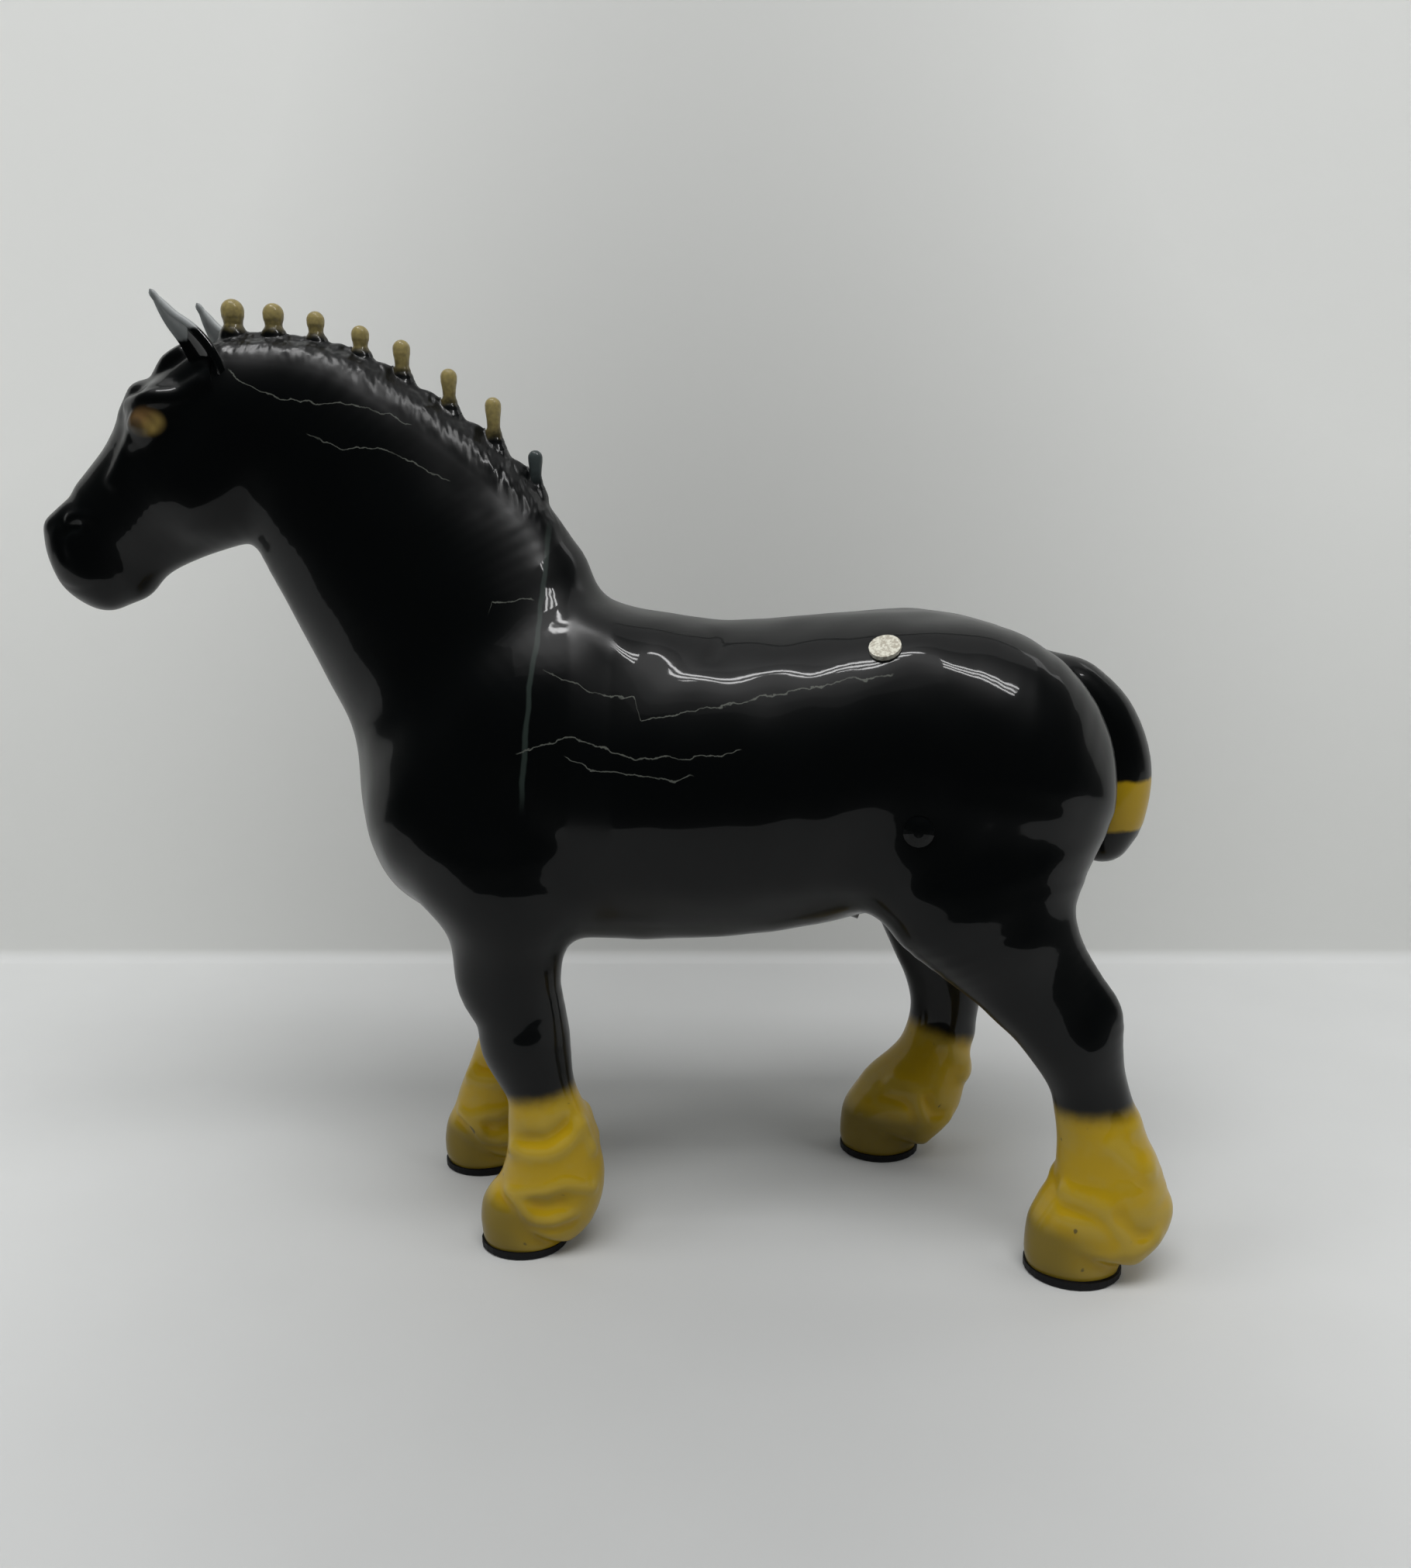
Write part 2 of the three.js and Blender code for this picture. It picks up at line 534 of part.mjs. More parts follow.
const FACE_LEAN = 132;
const FACE_TURN = 1.8;             // the rings reach the lean of the face before the muzzle
const MUZZLE_MIDDLE = { x: -117, z: 161 };
const HEAD_SPINE = new THREE.CatmullRomCurve3([
  new THREE.Vector3(THROAT.x, 0, THROAT.z), new THREE.Vector3(-90, 0, 180.5),
  new THREE.Vector3(-101, 0, 173), new THREE.Vector3(-110, 0, 166),
  new THREE.Vector3(MUZZLE_MIDDLE.x, 0, MUZZLE_MIDDLE.z),
]);
const NOSE_TILTS = [-18, -36, -54, -74];

function headRings(count) {
  const along = even(count, 0, 1).map((t) => {
    const point = HEAD_SPINE.getPoint(t);
    return ring(point.x, 0, point.z, THROAT.lean + (FACE_LEAN - THROAT.lean) * Math.min(1, t * FACE_TURN));
  });
  const nose = NOSE_TILTS.map((tilt) => ring(MUZZLE_MIDDLE.x, 0, MUZZLE_MIDDLE.z, FACE_LEAN, tilt));
  return [...along, ...nose];
}

// A ring moved along its own axis
function shifted(r, distance) {
  return { ...r, centre: r.centre.clone().addScaledVector(r.along, distance) };
}

// Spine point of a leg at a height, from its form's rows
function spineAt(rows, height) {
  const stations = refine(rows);
  const i = stations.findIndex((row, k) => k > 0 && row[2] <= height);
  const [a, b] = [stations[i - 1], stations[i]];
  const t = (a[2] - height) / (a[2] - b[2]);
  return [a[0] + (b[0] - a[0]) * t, a[1] + (b[1] - a[1]) * t];
}

// The rings of a leg follow the spine of the leg down to the feather, and then the hoof's
const FEATHER_LEVEL = 15;
const HOOF_LEVEL = 5;
function legRings(leg, hoof, top) {
  const bottom = SOLE_THICKNESS + SLIP_GAP;
  const legEnd = leg[leg.length - 1][2];
  const hoofTop = hoof[0][2];
  return even(LEG_RINGS, top - SLIP_GAP / 2, bottom).map((z) => {
    const [legX, legY] = spineAt(leg, Math.max(z, legEnd + 1));
    const [hoofX, hoofY] = spineAt(hoof, Math.min(z, hoofTop - 1));
    const share = Math.min(1, Math.max(0, (FEATHER_LEVEL - z) / (FEATHER_LEVEL - HOOF_LEVEL)));
    return ring(legX + (hoofX - legX) * share, legY + (hoofY - legY) * share, z, 0);
  });
}

const SOLE_SPOKES = 30;
// A sole: a flat pad with the outline of its hoof, a lip all round and a bevelled lower edge
function soleGeometry(bottomRing, hoof) {
  const hoofOnly = modelled([new Form(HOOF_BLEND, hoof)]);
  const outline = castPoints(hoofOnly, [bottomRing], SOLE_SPOKES)[0];
  const { centre } = bottomRing;
  const level = (z, grow) => outline.map((p) => {
    const out = new THREE.Vector3(p.x - centre.x, p.y - centre.y, 0);
    out.setLength(out.length() + grow);
    return new THREE.Vector3(centre.x + out.x, centre.y + out.y, z);
  });
  const rows = [
    level(SOLE_THICKNESS, SOLE_LIP), level(SOLE_BEVEL, SOLE_LIP), level(0, SOLE_LIP - SOLE_BEVEL),
  ];
  const middle = (z) => new THREE.Vector3(centre.x, centre.y, z);
  return skin(rows, middle(SOLE_THICKNESS), middle(0));
}

// Point and outward direction on the trunk, by its place along X and its lean from upright
const TRUNK_MIDDLE = 110;
function onTrunk({ x, lean }) {
  const angle = radians(lean);
  const origin = new THREE.Vector3(x, 0, TRUNK_MIDDLE);
  const direction = new THREE.Vector3(0, -Math.sin(angle), Math.cos(angle));
  const point = origin.clone().addScaledVector(direction, rayLength(horse, origin, direction, 0));
  const step = 0.5;
  const slope = (dx, dy, dz) => horse(point.x + dx, point.y + dy, point.z + dz)
    - horse(point.x - dx, point.y - dy, point.z - dz);
  const normal = new THREE.Vector3(slope(step, 0, 0), slope(0, step, 0), slope(0, 0, step)).normalize();
  return { point, normal };
}

// A turned piece that stands on a surface: its axis lies along the normal
function standing(profile, segments, { point, normal }) {
  const geometry = new THREE.LatheGeometry(profile.map(([r, z]) => new THREE.Vector2(r, z)), segments);
  const turn = new THREE.Quaternion().setFromUnitVectors(new THREE.Vector3(0, 1, 0), normal);
  geometry.applyQuaternion(turn);
  geometry.translate(point.x, point.y, point.z);
  return geometry;
}

const INLAY_SEGMENTS = 18;
const DOME_ROWS = 4;
const RECESS_CLEAR = 3;            // how far the cutter stands out of the surface
function inlayRecess(diameter, place) {
  const radius = diameter / 2 + MOAT_WIDTH;
  const profile = [[0, -MOAT_DEPTH], [radius, -MOAT_DEPTH], [radius, RECESS_CLEAR], [0, RECESS_CLEAR]];
  return standing(profile, INLAY_SEGMENTS, place);
}

// A flat-backed disc in its recess, with a top that rises by `crown` to its middle
function inlay(diameter, thickness, crown, place) {
  const radius = diameter / 2;
  const back = -MOAT_DEPTH + SLIP_GAP;
  const top = back + thickness;
  const dome = even(DOME_ROWS, 1, 0).map((share) => [radius * share, top - crown * share * share]);
  return standing([[0, back], [radius, back], ...dome], INLAY_SEGMENTS, place);
}

// The mane, plaited along the crest, with a bobble on every second knot
const crestCurve = new THREE.CatmullRomCurve3(neckRings(12).slice(1).reverse().map((r) => {
  const lift = rayLength(horse, r.centre, r.deep, 0) + PLAIT_LIFT;
  return r.centre.clone().addScaledVector(r.deep, lift);
}));

function parameterAtX(x) {
  let low = 0;
  let high = 1;
  for (let i = 0; i < 30; i += 1) {
    const middle = (low + high) / 2;
    if (crestCurve.getPointAt(middle).x < x) low = middle;
    else high = middle;
  }
  return low;
}

const bobblePlaces = BOBBLE_X.map(parameterAtX);
const KNOTS_PER_BOBBLE = 2;

// How many knots lie before a place on the crest: whole at the foot of each bobble
function knotsBefore(t) {
  const last = bobblePlaces.length - 2;
  const i = Math.min(last, Math.max(0, bobblePlaces.findIndex((place) => place > t) - 1));
  const behind = t > bobblePlaces[last] ? last : i;
  const spacing = bobblePlaces[behind + 1] - bobblePlaces[behind];
  return KNOTS_PER_BOBBLE * (behind + (t - bobblePlaces[behind]) / spacing);
}

const PLAIT_RINGS = 50;
const PLAIT_SPOKES = 8;
const PLAIT_TAPER = 0.04;          // share of its length over which each end narrows
const PLAIT_END_SHARE = 0.4;
function plaitGeometry() {
  const rows = even(PLAIT_RINGS, 0, 1).map((t) => {
    const centre = crestCurve.getPointAt(t);
    const along = crestCurve.getTangentAt(t);
    const deep = new THREE.Vector3(-along.z, 0, along.x);
    const taper = Math.min(1, PLAIT_END_SHARE + Math.sqrt(Math.min(t, 1 - t) / PLAIT_TAPER));
    const radius = (PLAIT_RADIUS + PLAIT_LUMP * Math.cos(2 * Math.PI * knotsBefore(t))) * taper;
    return Array.from({ length: PLAIT_SPOKES }, (_, k) => {
      const turn = 2 * Math.PI * k / PLAIT_SPOKES;
      const point = centre.clone().addScaledVector(deep, Math.sin(turn) * radius);
      point.y += Math.cos(turn) * radius;
      return point;
    });
  });
  return skin(rows, crestCurve.getPointAt(0), crestCurve.getPointAt(1));
}

// A bobble: a foot cut flat along its knot, a stem and a ball, leaning a little with the crest
const BOBBLE_SEGMENTS = 10;
const BOBBLE_LEAN = 0.1;           // share of the crest's slope that a bobble leans by
function makeBobble(t) {
  const foot = crestCurve.getPointAt(t);
  const along = crestCurve.getTangentAt(t);
  const lean = new THREE.Vector3(-along.z * BOBBLE_LEAN, 0, 1).normalize();
  const knotTop = PLAIT_RADIUS + PLAIT_LUMP;
  const stemTop = knotTop + BOBBLE_STEM;
  const tip = stemTop + 2 * BOBBLE_HEAD_RADIUS;
  const ball = (share, height) => [BOBBLE_HEAD_RADIUS * share, tip - BOBBLE_HEAD_RADIUS * height];
  const profile = [
    [0, 0], [BOBBLE_FOOT_RADIUS, 0], [BOBBLE_FOOT_RADIUS, knotTop], [BOBBLE_NECK_RADIUS, stemTop],
    ball(0.87, 1.5), ball(1, 1), ball(0.87, 0.5), [0, tip],
  ];
  const bobble = solid(standing(profile, BOBBLE_SEGMENTS, { point: foot, normal: lean }));
  const square = new THREE.Vector3(-along.z, 0, along.x);
  return bobble.trimByPlane(square.toArray(), foot.dot(square) + knotTop + SLIP_GAP);
}

// An ear: a cupped leaf, open to the front, thick at the root and drawn out to a point
const EAR_SPINE = [
  [-84.4, -7.8, 197.6], [-86, -8.7, 202.4], [-88.8, -9.4, 206.6], [-92.8, -9.7, 210.9], [-97, -9.6, 216.8],
];
const OFF_EAR_STEP = 3;            // how far the off ear stands behind the near one
const EAR_OPENS = new THREE.Vector3(-0.5, -0.8, -0.35);
const EAR_RINGS = 12;
const EAR_ARC = 8;
const EAR_ARC_DEGREES = 80;
const EAR_ROOT_SHARE = 0.82;       // width at the root as a share of the full width
const EAR_BELLY = 1.7;             // how far the leaf swells above the root
const EAR_TAPER = 1;               // 0.5 is a round leaf, 1 a straight-sided one
const EAR_TIP_SHARE = 0.14;
function earGeometry(side) {
  const step = side < 0 ? OFF_EAR_STEP : 0;
  const curve = new THREE.CatmullRomCurve3(
    EAR_SPINE.map(([x, y, z], i) => new THREE.Vector3(x + step * i / (EAR_SPINE.length - 1), y * side, z)),
  );
  const rows = even(EAR_RINGS, 0, 1).map((t) => {
    const centre = curve.getPoint(t);
    const along = curve.getTangent(t);
    const open = EAR_OPENS.clone().addScaledVector(along, -EAR_OPENS.dot(along)).normalize();
    const wide = new THREE.Vector3().crossVectors(along, open);
    const swell = EAR_ROOT_SHARE + EAR_BELLY * t * (1 - t);
    const leaf = Math.max(EAR_TIP_SHARE, Math.pow(1 - t, EAR_TAPER) * swell);
    const half = EAR_WIDTH / 2 * leaf;
    const cup = EAR_CUP * leaf;
    const wall = Math.min(EAR_THICKNESS / 2, half / 2);
    const arc = (radius, depth, back) => even(EAR_ARC, -EAR_ARC_DEGREES, EAR_ARC_DEGREES).map((degrees) => {
      const angle = radians(degrees);
      return centre.clone().addScaledVector(wide, Math.sin(angle) * radius)
        .addScaledVector(open, depth * (1 - Math.cos(angle)) - back);
    });
    return [...arc(half, cup, wall), ...arc(half - wall, cup, -wall).reverse()];
  });
  const middle = (row) => row.reduce((sum, p) => sum.add(p), new THREE.Vector3()).divideScalar(row.length);
  return skin(rows, middle(rows[0]), middle(rows[rows.length - 1]));
}

// Pieces
const glaze = { color: 0x0b0d10, roughness: 0.08, metalness: 0 };
const ochre = { color: 0xb98a2c, roughness: 0.25, metalness: 0 };
const soleBlack = { color: 0x101010, roughness: 0.7, metalness: 0 };
const bareClay = { color: 0xd8d2c2, roughness: 0.9, metalness: 0 };

const group = new THREE.Group();
function piece(name, geometry, finish) {
  const flat = geometry.toNonIndexed();
  flat.computeVertexNormals();
  const mesh = new THREE.Mesh(flat, new THREE.MeshStandardMaterial(finish));
  mesh.name = name;
  group.add(mesh);
}

const legs = [
  { name: 'near_fore', leg: NEAR_FORE_LEG, hoof: NEAR_FORE_HOOF, top: FORE_JOINT_HEIGHT },
  { name: 'off_fore', leg: OFF_FORE_LEG, hoof: OFF_FORE_HOOF, top: FORE_JOINT_HEIGHT },
  { name: 'near_hind', leg: NEAR_HIND_LEG, hoof: NEAR_HIND_HOOF, top: HIND_JOINT_HEIGHT },
  { name: 'off_hind', leg: OFF_HIND_LEG, hoof: OFF_HIND_HOOF, top: HIND_JOINT_HEIGHT },
];

const plugPlace = onTrunk(PLUG_PLACE);
const studPlace = onTrunk(STUD_PLACE);

// The trunk's field stops just past its joints, and is then cut flat there
const CUT_ALLOWANCE = 5;
const TRUNK_CELL = 6;
const TRUNK_BOX = {
  low: [-64, -44, Math.min(FORE_JOINT_HEIGHT, HIND_JOINT_HEIGHT) - TRUNK_CELL],
  high: [116, 44, 172],
};
const BELLY = { from: 30, to: 62 };          // along X, between the fore and the hind legs
function trunkField(x, y, z) {
  const joint = x < BELLY.from ? FORE_JOINT_HEIGHT : HIND_JOINT_HEIGHT;
  const lowest = x > BELLY.from && x < BELLY.to ? 0 : joint - CUT_ALLOWANCE;
  return Math.max(horse(x, y, z), past(NECK_BASE, x, z) - CUT_ALLOWANCE, lowest - z);
}

// The block below a leg's joint, which the trunk leaves to the leg
const LEG_BLOCK = { inward: 20, outward: 32, forward: 24, rearward: 32, down: 20 };
function legRange({ leg, top }) {
  const [x, y] = spineAt(leg, top);
  const side = Math.sign(y);
  const yRange = [y - side * LEG_BLOCK.inward, y + side * LEG_BLOCK.outward].sort((a, b) => a - b);
  return {
    low: [x - LEG_BLOCK.forward, yRange[0], top - LEG_BLOCK.down],
    high: [x + LEG_BLOCK.rearward, yRange[1], top + SLIP_GAP / 2],
  };
}

// A leg's own field: the horse's, kept inside the block above the block's lower end
function legField(limb) {
  const { low, high } = legRange(limb);
  return (x, y, z) => {
    if (z < low[2]) return horse(x, y, z);
    const along = Math.max(low[0] - x, x - high[0]);
    const across = Math.max(low[1] - y, y - high[1]);
    return Math.max(horse(x, y, z), along + SLIP_GAP, across + SLIP_GAP);
  };
}

function trunkSolid(level) {
  return solid(netted(trunkField, TRUNK_BOX, TRUNK_CELL, level))
    .subtract(headSideBlock(NECK_BASE, level - SLIP_GAP / 2));
}

const VENT_REACH = 30;
const BELLY_LEVEL = 74;
function ventHole() {
  const vent = new THREE.CylinderGeometry(VENT_DIAMETER / 2, VENT_DIAMETER / 2, VENT_REACH, 16);
  vent.rotateX(Math.PI / 2);
  vent.translate(VENT_X, 0, BELLY_LEVEL);
  return solid(vent);
}

function makeTrunk() {
  const cutters = [
    ...legs.map(legRange).map(({ low, high }) => boxBetween(low, high)),
    solid(cast(bodyOnly, hollowRings(), CAVITY_SPOKES, -WALL)), ventHole(),
    solid(inlayRecess(PLUG_DIAMETER, plugPlace)), solid(inlayRecess(STUD_DIAMETER, studPlace)),
  ];
  return cutters.reduce((trunk, cutter) => trunk.subtract(cutter), trunkSolid(0));
}

// The rings with their first and last moved along the spine by these distances
function endsShifted(rings, first, last) {
  const end = rings.length - 1;
  return rings.map((r, i) => {
    if (i === 0) return shifted(r, first);
    return i === end ? shifted(r, last) : r;
  });
}

function makeNeck() {
  const outer = endsShifted(neckRings(NECK_RINGS), -SLIP_GAP / 2, SLIP_GAP / 2);
  const hollow = endsShifted(neckRings(NECK_HOLLOW_RINGS), OVERRUN, -OVERRUN);
  return solid(cast(horse, outer, NECK_SPOKES)).subtract(solid(cast(horse, hollow, CAVITY_SPOKES, -WALL)));
}

function makeHead() {
  const outer = endsShifted(headRings(HEAD_RINGS), -SLIP_GAP / 2, 0);
  const hollow = endsShifted(headRings(HEAD_RINGS).slice(0, HEAD_HOLLOW_RINGS), OVERRUN, 0);
  return solid(cast(horse, outer, HEAD_SPOKES)).subtract(solid(cast(horse, hollow, CAVITY_SPOKES, -WALL)));
}

piece('trunk', geometryOf(makeTrunk()), glaze);
piece('neck', geometryOf(makeNeck()), glaze);
piece('head', geometryOf(makeHead()), glaze);

legs.forEach((limb) => {
  const { name, leg, hoof, top } = limb;
  const rings = legRings(leg, hoof, top);
  piece(`${name}_leg`, cast(legField(limb), rings, LEG_SPOKES), ochre);
  piece(`${name}_sole`, soleGeometry(rings[rings.length - 1], hoof), soleBlack);
});

// Applied pieces are cut back to leave the slip gap over what carries them
const CARRIER_LAP = 8;             // how far the neck's cutter reaches into its neighbours
const neckReach = neckRings(NECK_RINGS);
const neckClear = [
  shifted(neckReach[0], CARRIER_LAP), ...neckReach, shifted(neckReach[NECK_RINGS - 1], -CARRIER_LAP),
];
const carriers = trunkSolid(SLIP_GAP)
  .add(solid(cast(horse, neckClear, NECK_SPOKES, SLIP_GAP)))
  .add(solid(cast(horse, headRings(HEAD_RINGS), HEAD_SPOKES, SLIP_GAP)));

const tailRings = [
  ...[-70, -40].map((tilt) => ring(99, 0, 132, 70, tilt)),
  ring(100, 0, 131.8, 70), ring(104, 0, 130.3, 63), ring(108, 0, 128.3, 54), ring(111.8, 0, 125, 42),
  ring(114.7, 0, 120.6, 28), ring(116.8, 0, 115.6, 16), ring(117.8, 0, 110.4, 4), ring(117.7, 0, 105, -6),
  ring(117.2, 0, 100, -10), ring(116.6, 0, 97, -14),
  ...CLOSING_TILTS.map((tilt) => ring(116.3, 0, 96, -16, tilt)),
];
piece('tail', geometryOf(solid(cast(tailForm, tailRings, TAIL_SPOKES)).subtract(carriers)), glaze);

piece('near_ear', geometryOf(solid(earGeometry(1)).subtract(carriers)), glaze);
piece('off_ear', geometryOf(solid(earGeometry(-1)).subtract(carriers)), glaze);

piece('mane_plait', geometryOf(solid(plaitGeometry()).subtract(carriers)), glaze);
bobblePlaces.forEach((place, i) => piece(`mane_bobble_${i + 1}`, geometryOf(makeBobble(place)), ochre));

piece('back_plug', inlay(PLUG_DIAMETER, PLUG_THICKNESS, PLUG_CROWN, plugPlace), bareClay);
piece('flank_stud', inlay(STUD_DIAMETER, STUD_THICKNESS, STUD_CROWN, studPlace), glaze);

export default group;
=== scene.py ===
# Glazed ceramic draught-horse figurine: the looks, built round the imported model.
# Sculpted sizes are in millimetres, with x towards the tail, y towards the off side and z up.
import math
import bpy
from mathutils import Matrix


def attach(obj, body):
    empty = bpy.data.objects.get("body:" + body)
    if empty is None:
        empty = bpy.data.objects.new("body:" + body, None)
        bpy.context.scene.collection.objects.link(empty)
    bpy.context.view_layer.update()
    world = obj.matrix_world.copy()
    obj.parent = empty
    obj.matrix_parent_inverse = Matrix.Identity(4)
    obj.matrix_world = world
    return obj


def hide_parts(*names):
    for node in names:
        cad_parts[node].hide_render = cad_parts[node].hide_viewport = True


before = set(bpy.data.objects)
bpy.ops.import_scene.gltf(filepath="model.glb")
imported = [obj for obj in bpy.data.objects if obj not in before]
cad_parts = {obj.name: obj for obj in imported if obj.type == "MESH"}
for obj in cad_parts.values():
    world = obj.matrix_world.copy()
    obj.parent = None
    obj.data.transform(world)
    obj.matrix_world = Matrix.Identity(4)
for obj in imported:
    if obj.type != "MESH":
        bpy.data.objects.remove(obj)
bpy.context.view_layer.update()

from concurrent.futures import ThreadPoolExecutor

import bpy
import numpy as np
import openvdb
from mathutils import Vector

MM = 0.001

# Sizes shared with the solids
FORE_Y = 20.5                # from the middle of the body to the middle of a fore leg
HIND_Y = 30.5
BARREL_HALF = 37.5
TAIL_HALF = 9.5
FORE_JOINT_HEIGHT = 70
HIND_JOINT_HEIGHT = 77
SOLE_TOP = 1.9
NECK_BASE = {"x": -34, "z": 136, "lean": 48.9}
THROAT = {"x": -81, "z": 184, "lean": 101}

# Grid cells, and the blur that takes out creases
TRUNK_CELL = 1.0
NECK_CELL = 0.5
HEAD_CELL = 0.4
LEG_CELL = 0.5
BOBBLE_CELL = 0.25
SOFTEN = 0.6

# The glaze's lumps
LUMP_LENGTH = (9, 22)
LUMP_HEIGHT = 0.11

# Swept forms. A row is x, y, z of the spine, then the half width across the body and the half
# depth in the side view, square to the spine.
BARREL = [
    [-40, 0, 103, BARREL_HALF - 20.5, 20], [-29, 0, 105.5, BARREL_HALF - 11.5, 28.5],
    [-8, 0, 107, BARREL_HALF - 4, 35.6], [14, 0, 107.6, BARREL_HALF - 1, 37.1],
    [38, 0, 109.3, BARREL_HALF, 36.5], [62, 0, 113.4, BARREL_HALF - 1, 34],
    [78, 0, 115, BARREL_HALF - 4, 30.5], [87, 0, 114, BARREL_HALF - 13, 23.5],
]
BREAST = [[-39, -9, 94, 11, 11.5], [-39.2, -9, 107, 12, 12]]
SHOULDER = [[-3, -12, 136, 10, 11], [-18, -18, 124, 12, 15], [-34, -19, 106, 12, 13.5]]
UPPER_ARM = [[-37, -20, 101, 12, 12], [-27, -23, 92, 12.5, 13], [-20, -23, 84, 11, 12]]
WITHERS = [[-17, 0, 143, 9, 13], [-4, 0, 138.8, 11, 8.4], [11, 0, 137, 14, 7]]
HAUNCH = [[70, -15, 121, 19, 23], [85, -15.5, 118, 19.5, 24], [95, -14, 112, 16, 19.5]]
THIGH = [[86, -20, 108, 17, 25], [83.6, -25, 92, 13, 20], [86.4, -28, 80, 10, 14.5]]
STIFLE = [[68, -26, 94, 9, 10], [73, -28, 85, 9, 9]]
NECK = [
    [-25.5, 0, 122.5, 24, 30.6], [-38, 0, 146.6, 20, 30.8], [-53.2, 0, 168, 16, 27],
    [-65.6, 0, 183.4, 14, 22.2], [-80, 0, 190, 12.5, 17],
]
CREST = [
    [-14, 0, 156.6, 8.5, 8.4], [-28.4, 0, 175.2, 7.5, 8.6], [-48, 0, 188.2, 7.5, 9],
    [-66, 0, 196.5, 7.5, 8], [-84, 0, 199.5, 7.5, 6],
]
SKULL = [
    [-84, 0, 190, 12.5, 15], [-92, 0, 182.5, 13.2, 18], [-101, 0, 174, 11.5, 14.6],
    [-109, 0, 167, 9.6, 11.5], [-117, 0, 161, 8.6, 9.5],
]
CHEEK = [[-90, -7, 177, 7, 12], [-87, -7, 174.5, 7, 11]]
ORBIT = [[-95.5, -10.3, 192.5, 4, 4.4], [-98.5, -11, 189, 4, 4.2]]
FACE = [
    [-90, 0, 197, 8.5, 5.5], [-98.5, 0, 190.5, 9, 5.5], [-106.3, 0, 181.2, 6.8, 5],
    [-115, 0, 172.5, 6, 5.5],
]
MUZZLE = [[-119.8, 0, 163.6, 8, 7], [-118.1, 0, 157.2, 8, 7]]
CHIN = [[-114.5, 0, 153.4, 6.5, 5.3], [-109.5, 0, 155, 6, 5]]
JAW = [[-84, 0, 172, 9, 8], [-98, 0, 165, 6.5, 6], [-108, 0, 159, 5.5, 5]]

NEAR_FORE_LEG = [
    [-24, -FORE_Y, 94, 12.5, 14], [-24, -FORE_Y, 84, 11.5, 12.5], [-23, -FORE_Y, 77, 10.8, 12.2],
    [-22.4, -FORE_Y, 66, 10, 11.8], [-20, -FORE_Y, 58, 9.2, 10.4], [-19, -FORE_Y, 51, 9.5, 10.2],
    [-17.4, -FORE_Y, 45, 8.6, 9.1], [-15.7, -FORE_Y, 39, 7.8, 8], [-14.6, -FORE_Y, 33, 8.4, 9.1],
    [-13.5, -FORE_Y + 0.5, 26, 9.8, 10.5], [-13.3, -FORE_Y + 1, 18.5, 11, 11.8],
    [-14.7, -FORE_Y + 1.5, 12.5, 11.4, 11.9], [-16.7, -FORE_Y + 1.5, 9, 11, 11.3],
]
NEAR_FORE_HOOF = [
    [-20.4, -FORE_Y + 1.5, 8.5, 9, 10.2], [-20.6, -FORE_Y + 1.5, 5, 9, 10],
    [-19.5, -FORE_Y + 1.5, 1.8, 7, 8.5], [-19.4, -FORE_Y + 1.5, -2, 6.6, 8],
]
OFF_FORE_LEG = [
    [-26, FORE_Y, 94, 12.5, 14], [-27, FORE_Y, 84, 11.5, 12.5], [-27.5, FORE_Y, 77, 10.8, 12.2],
    [-28, FORE_Y, 66, 10, 11.2], [-28, FORE_Y, 58, 9.2, 9.8], [-27.8, FORE_Y, 51, 9.5, 9.7],
    [-27.9, FORE_Y, 45, 8.6, 8.8], [-28.4, FORE_Y, 39, 7.8, 7.8], [-28.9, FORE_Y, 33, 8.4, 8.7],
    [-29.8, FORE_Y + 0.5, 26, 9.8, 10.2], [-31.2, FORE_Y + 1, 18.5, 11, 11.6],
    [-32.7, FORE_Y + 1.5, 12.5, 11.4, 11.8], [-34.2, FORE_Y + 1.5, 9, 11, 11.5],
]
OFF_FORE_HOOF = [
    [-36.4, FORE_Y + 1.5, 8.5, 9, 10.2], [-36.8, FORE_Y + 1.5, 5, 9, 10],
    [-36.6, FORE_Y + 1.5, 1.8, 7, 8.5], [-36.6, FORE_Y + 1.5, -2, 6.6, 8],
]
NEAR_HIND_LEG = [
    [84, -HIND_Y + 4, 88, 11.5, 18], [87, -HIND_Y + 2, 79, 10, 14.8], [92.8, -HIND_Y + 1, 70, 9.4, 12.5],
    [98.4, -HIND_Y + 0.5, 62, 9, 10.5], [103.5, -HIND_Y, 54, 9, 9.3], [107.1, -HIND_Y, 46, 8.2, 8.4],
    [108.9, -HIND_Y, 39.5, 8.4, 8.6], [110.8, -HIND_Y, 33, 9.2, 9.6], [112, -HIND_Y, 27, 10.4, 10.8],
    [113.2, -HIND_Y, 20, 12, 13], [112.6, -HIND_Y, 14, 12.4, 14.7], [111.4, -HIND_Y, 9, 12, 13.9],
]
NEAR_HOCK = [
    [97, -HIND_Y + 1, 80, 3.5, 3.5], [105, -HIND_Y + 0.5, 67.5, 4, 4], [109, -HIND_Y + 0.5, 61, 4.6, 4.6],
    [109, -HIND_Y + 0.3, 54, 4, 4],
]
NEAR_HIND_HOOF = [
    [106.4, -HIND_Y, 9, 10, 11], [106, -HIND_Y, 5, 10.2, 10.9],
    [105.3, -HIND_Y, 1.8, 8.2, 9.2], [105.2, -HIND_Y, -2, 7.9, 8.7],
]
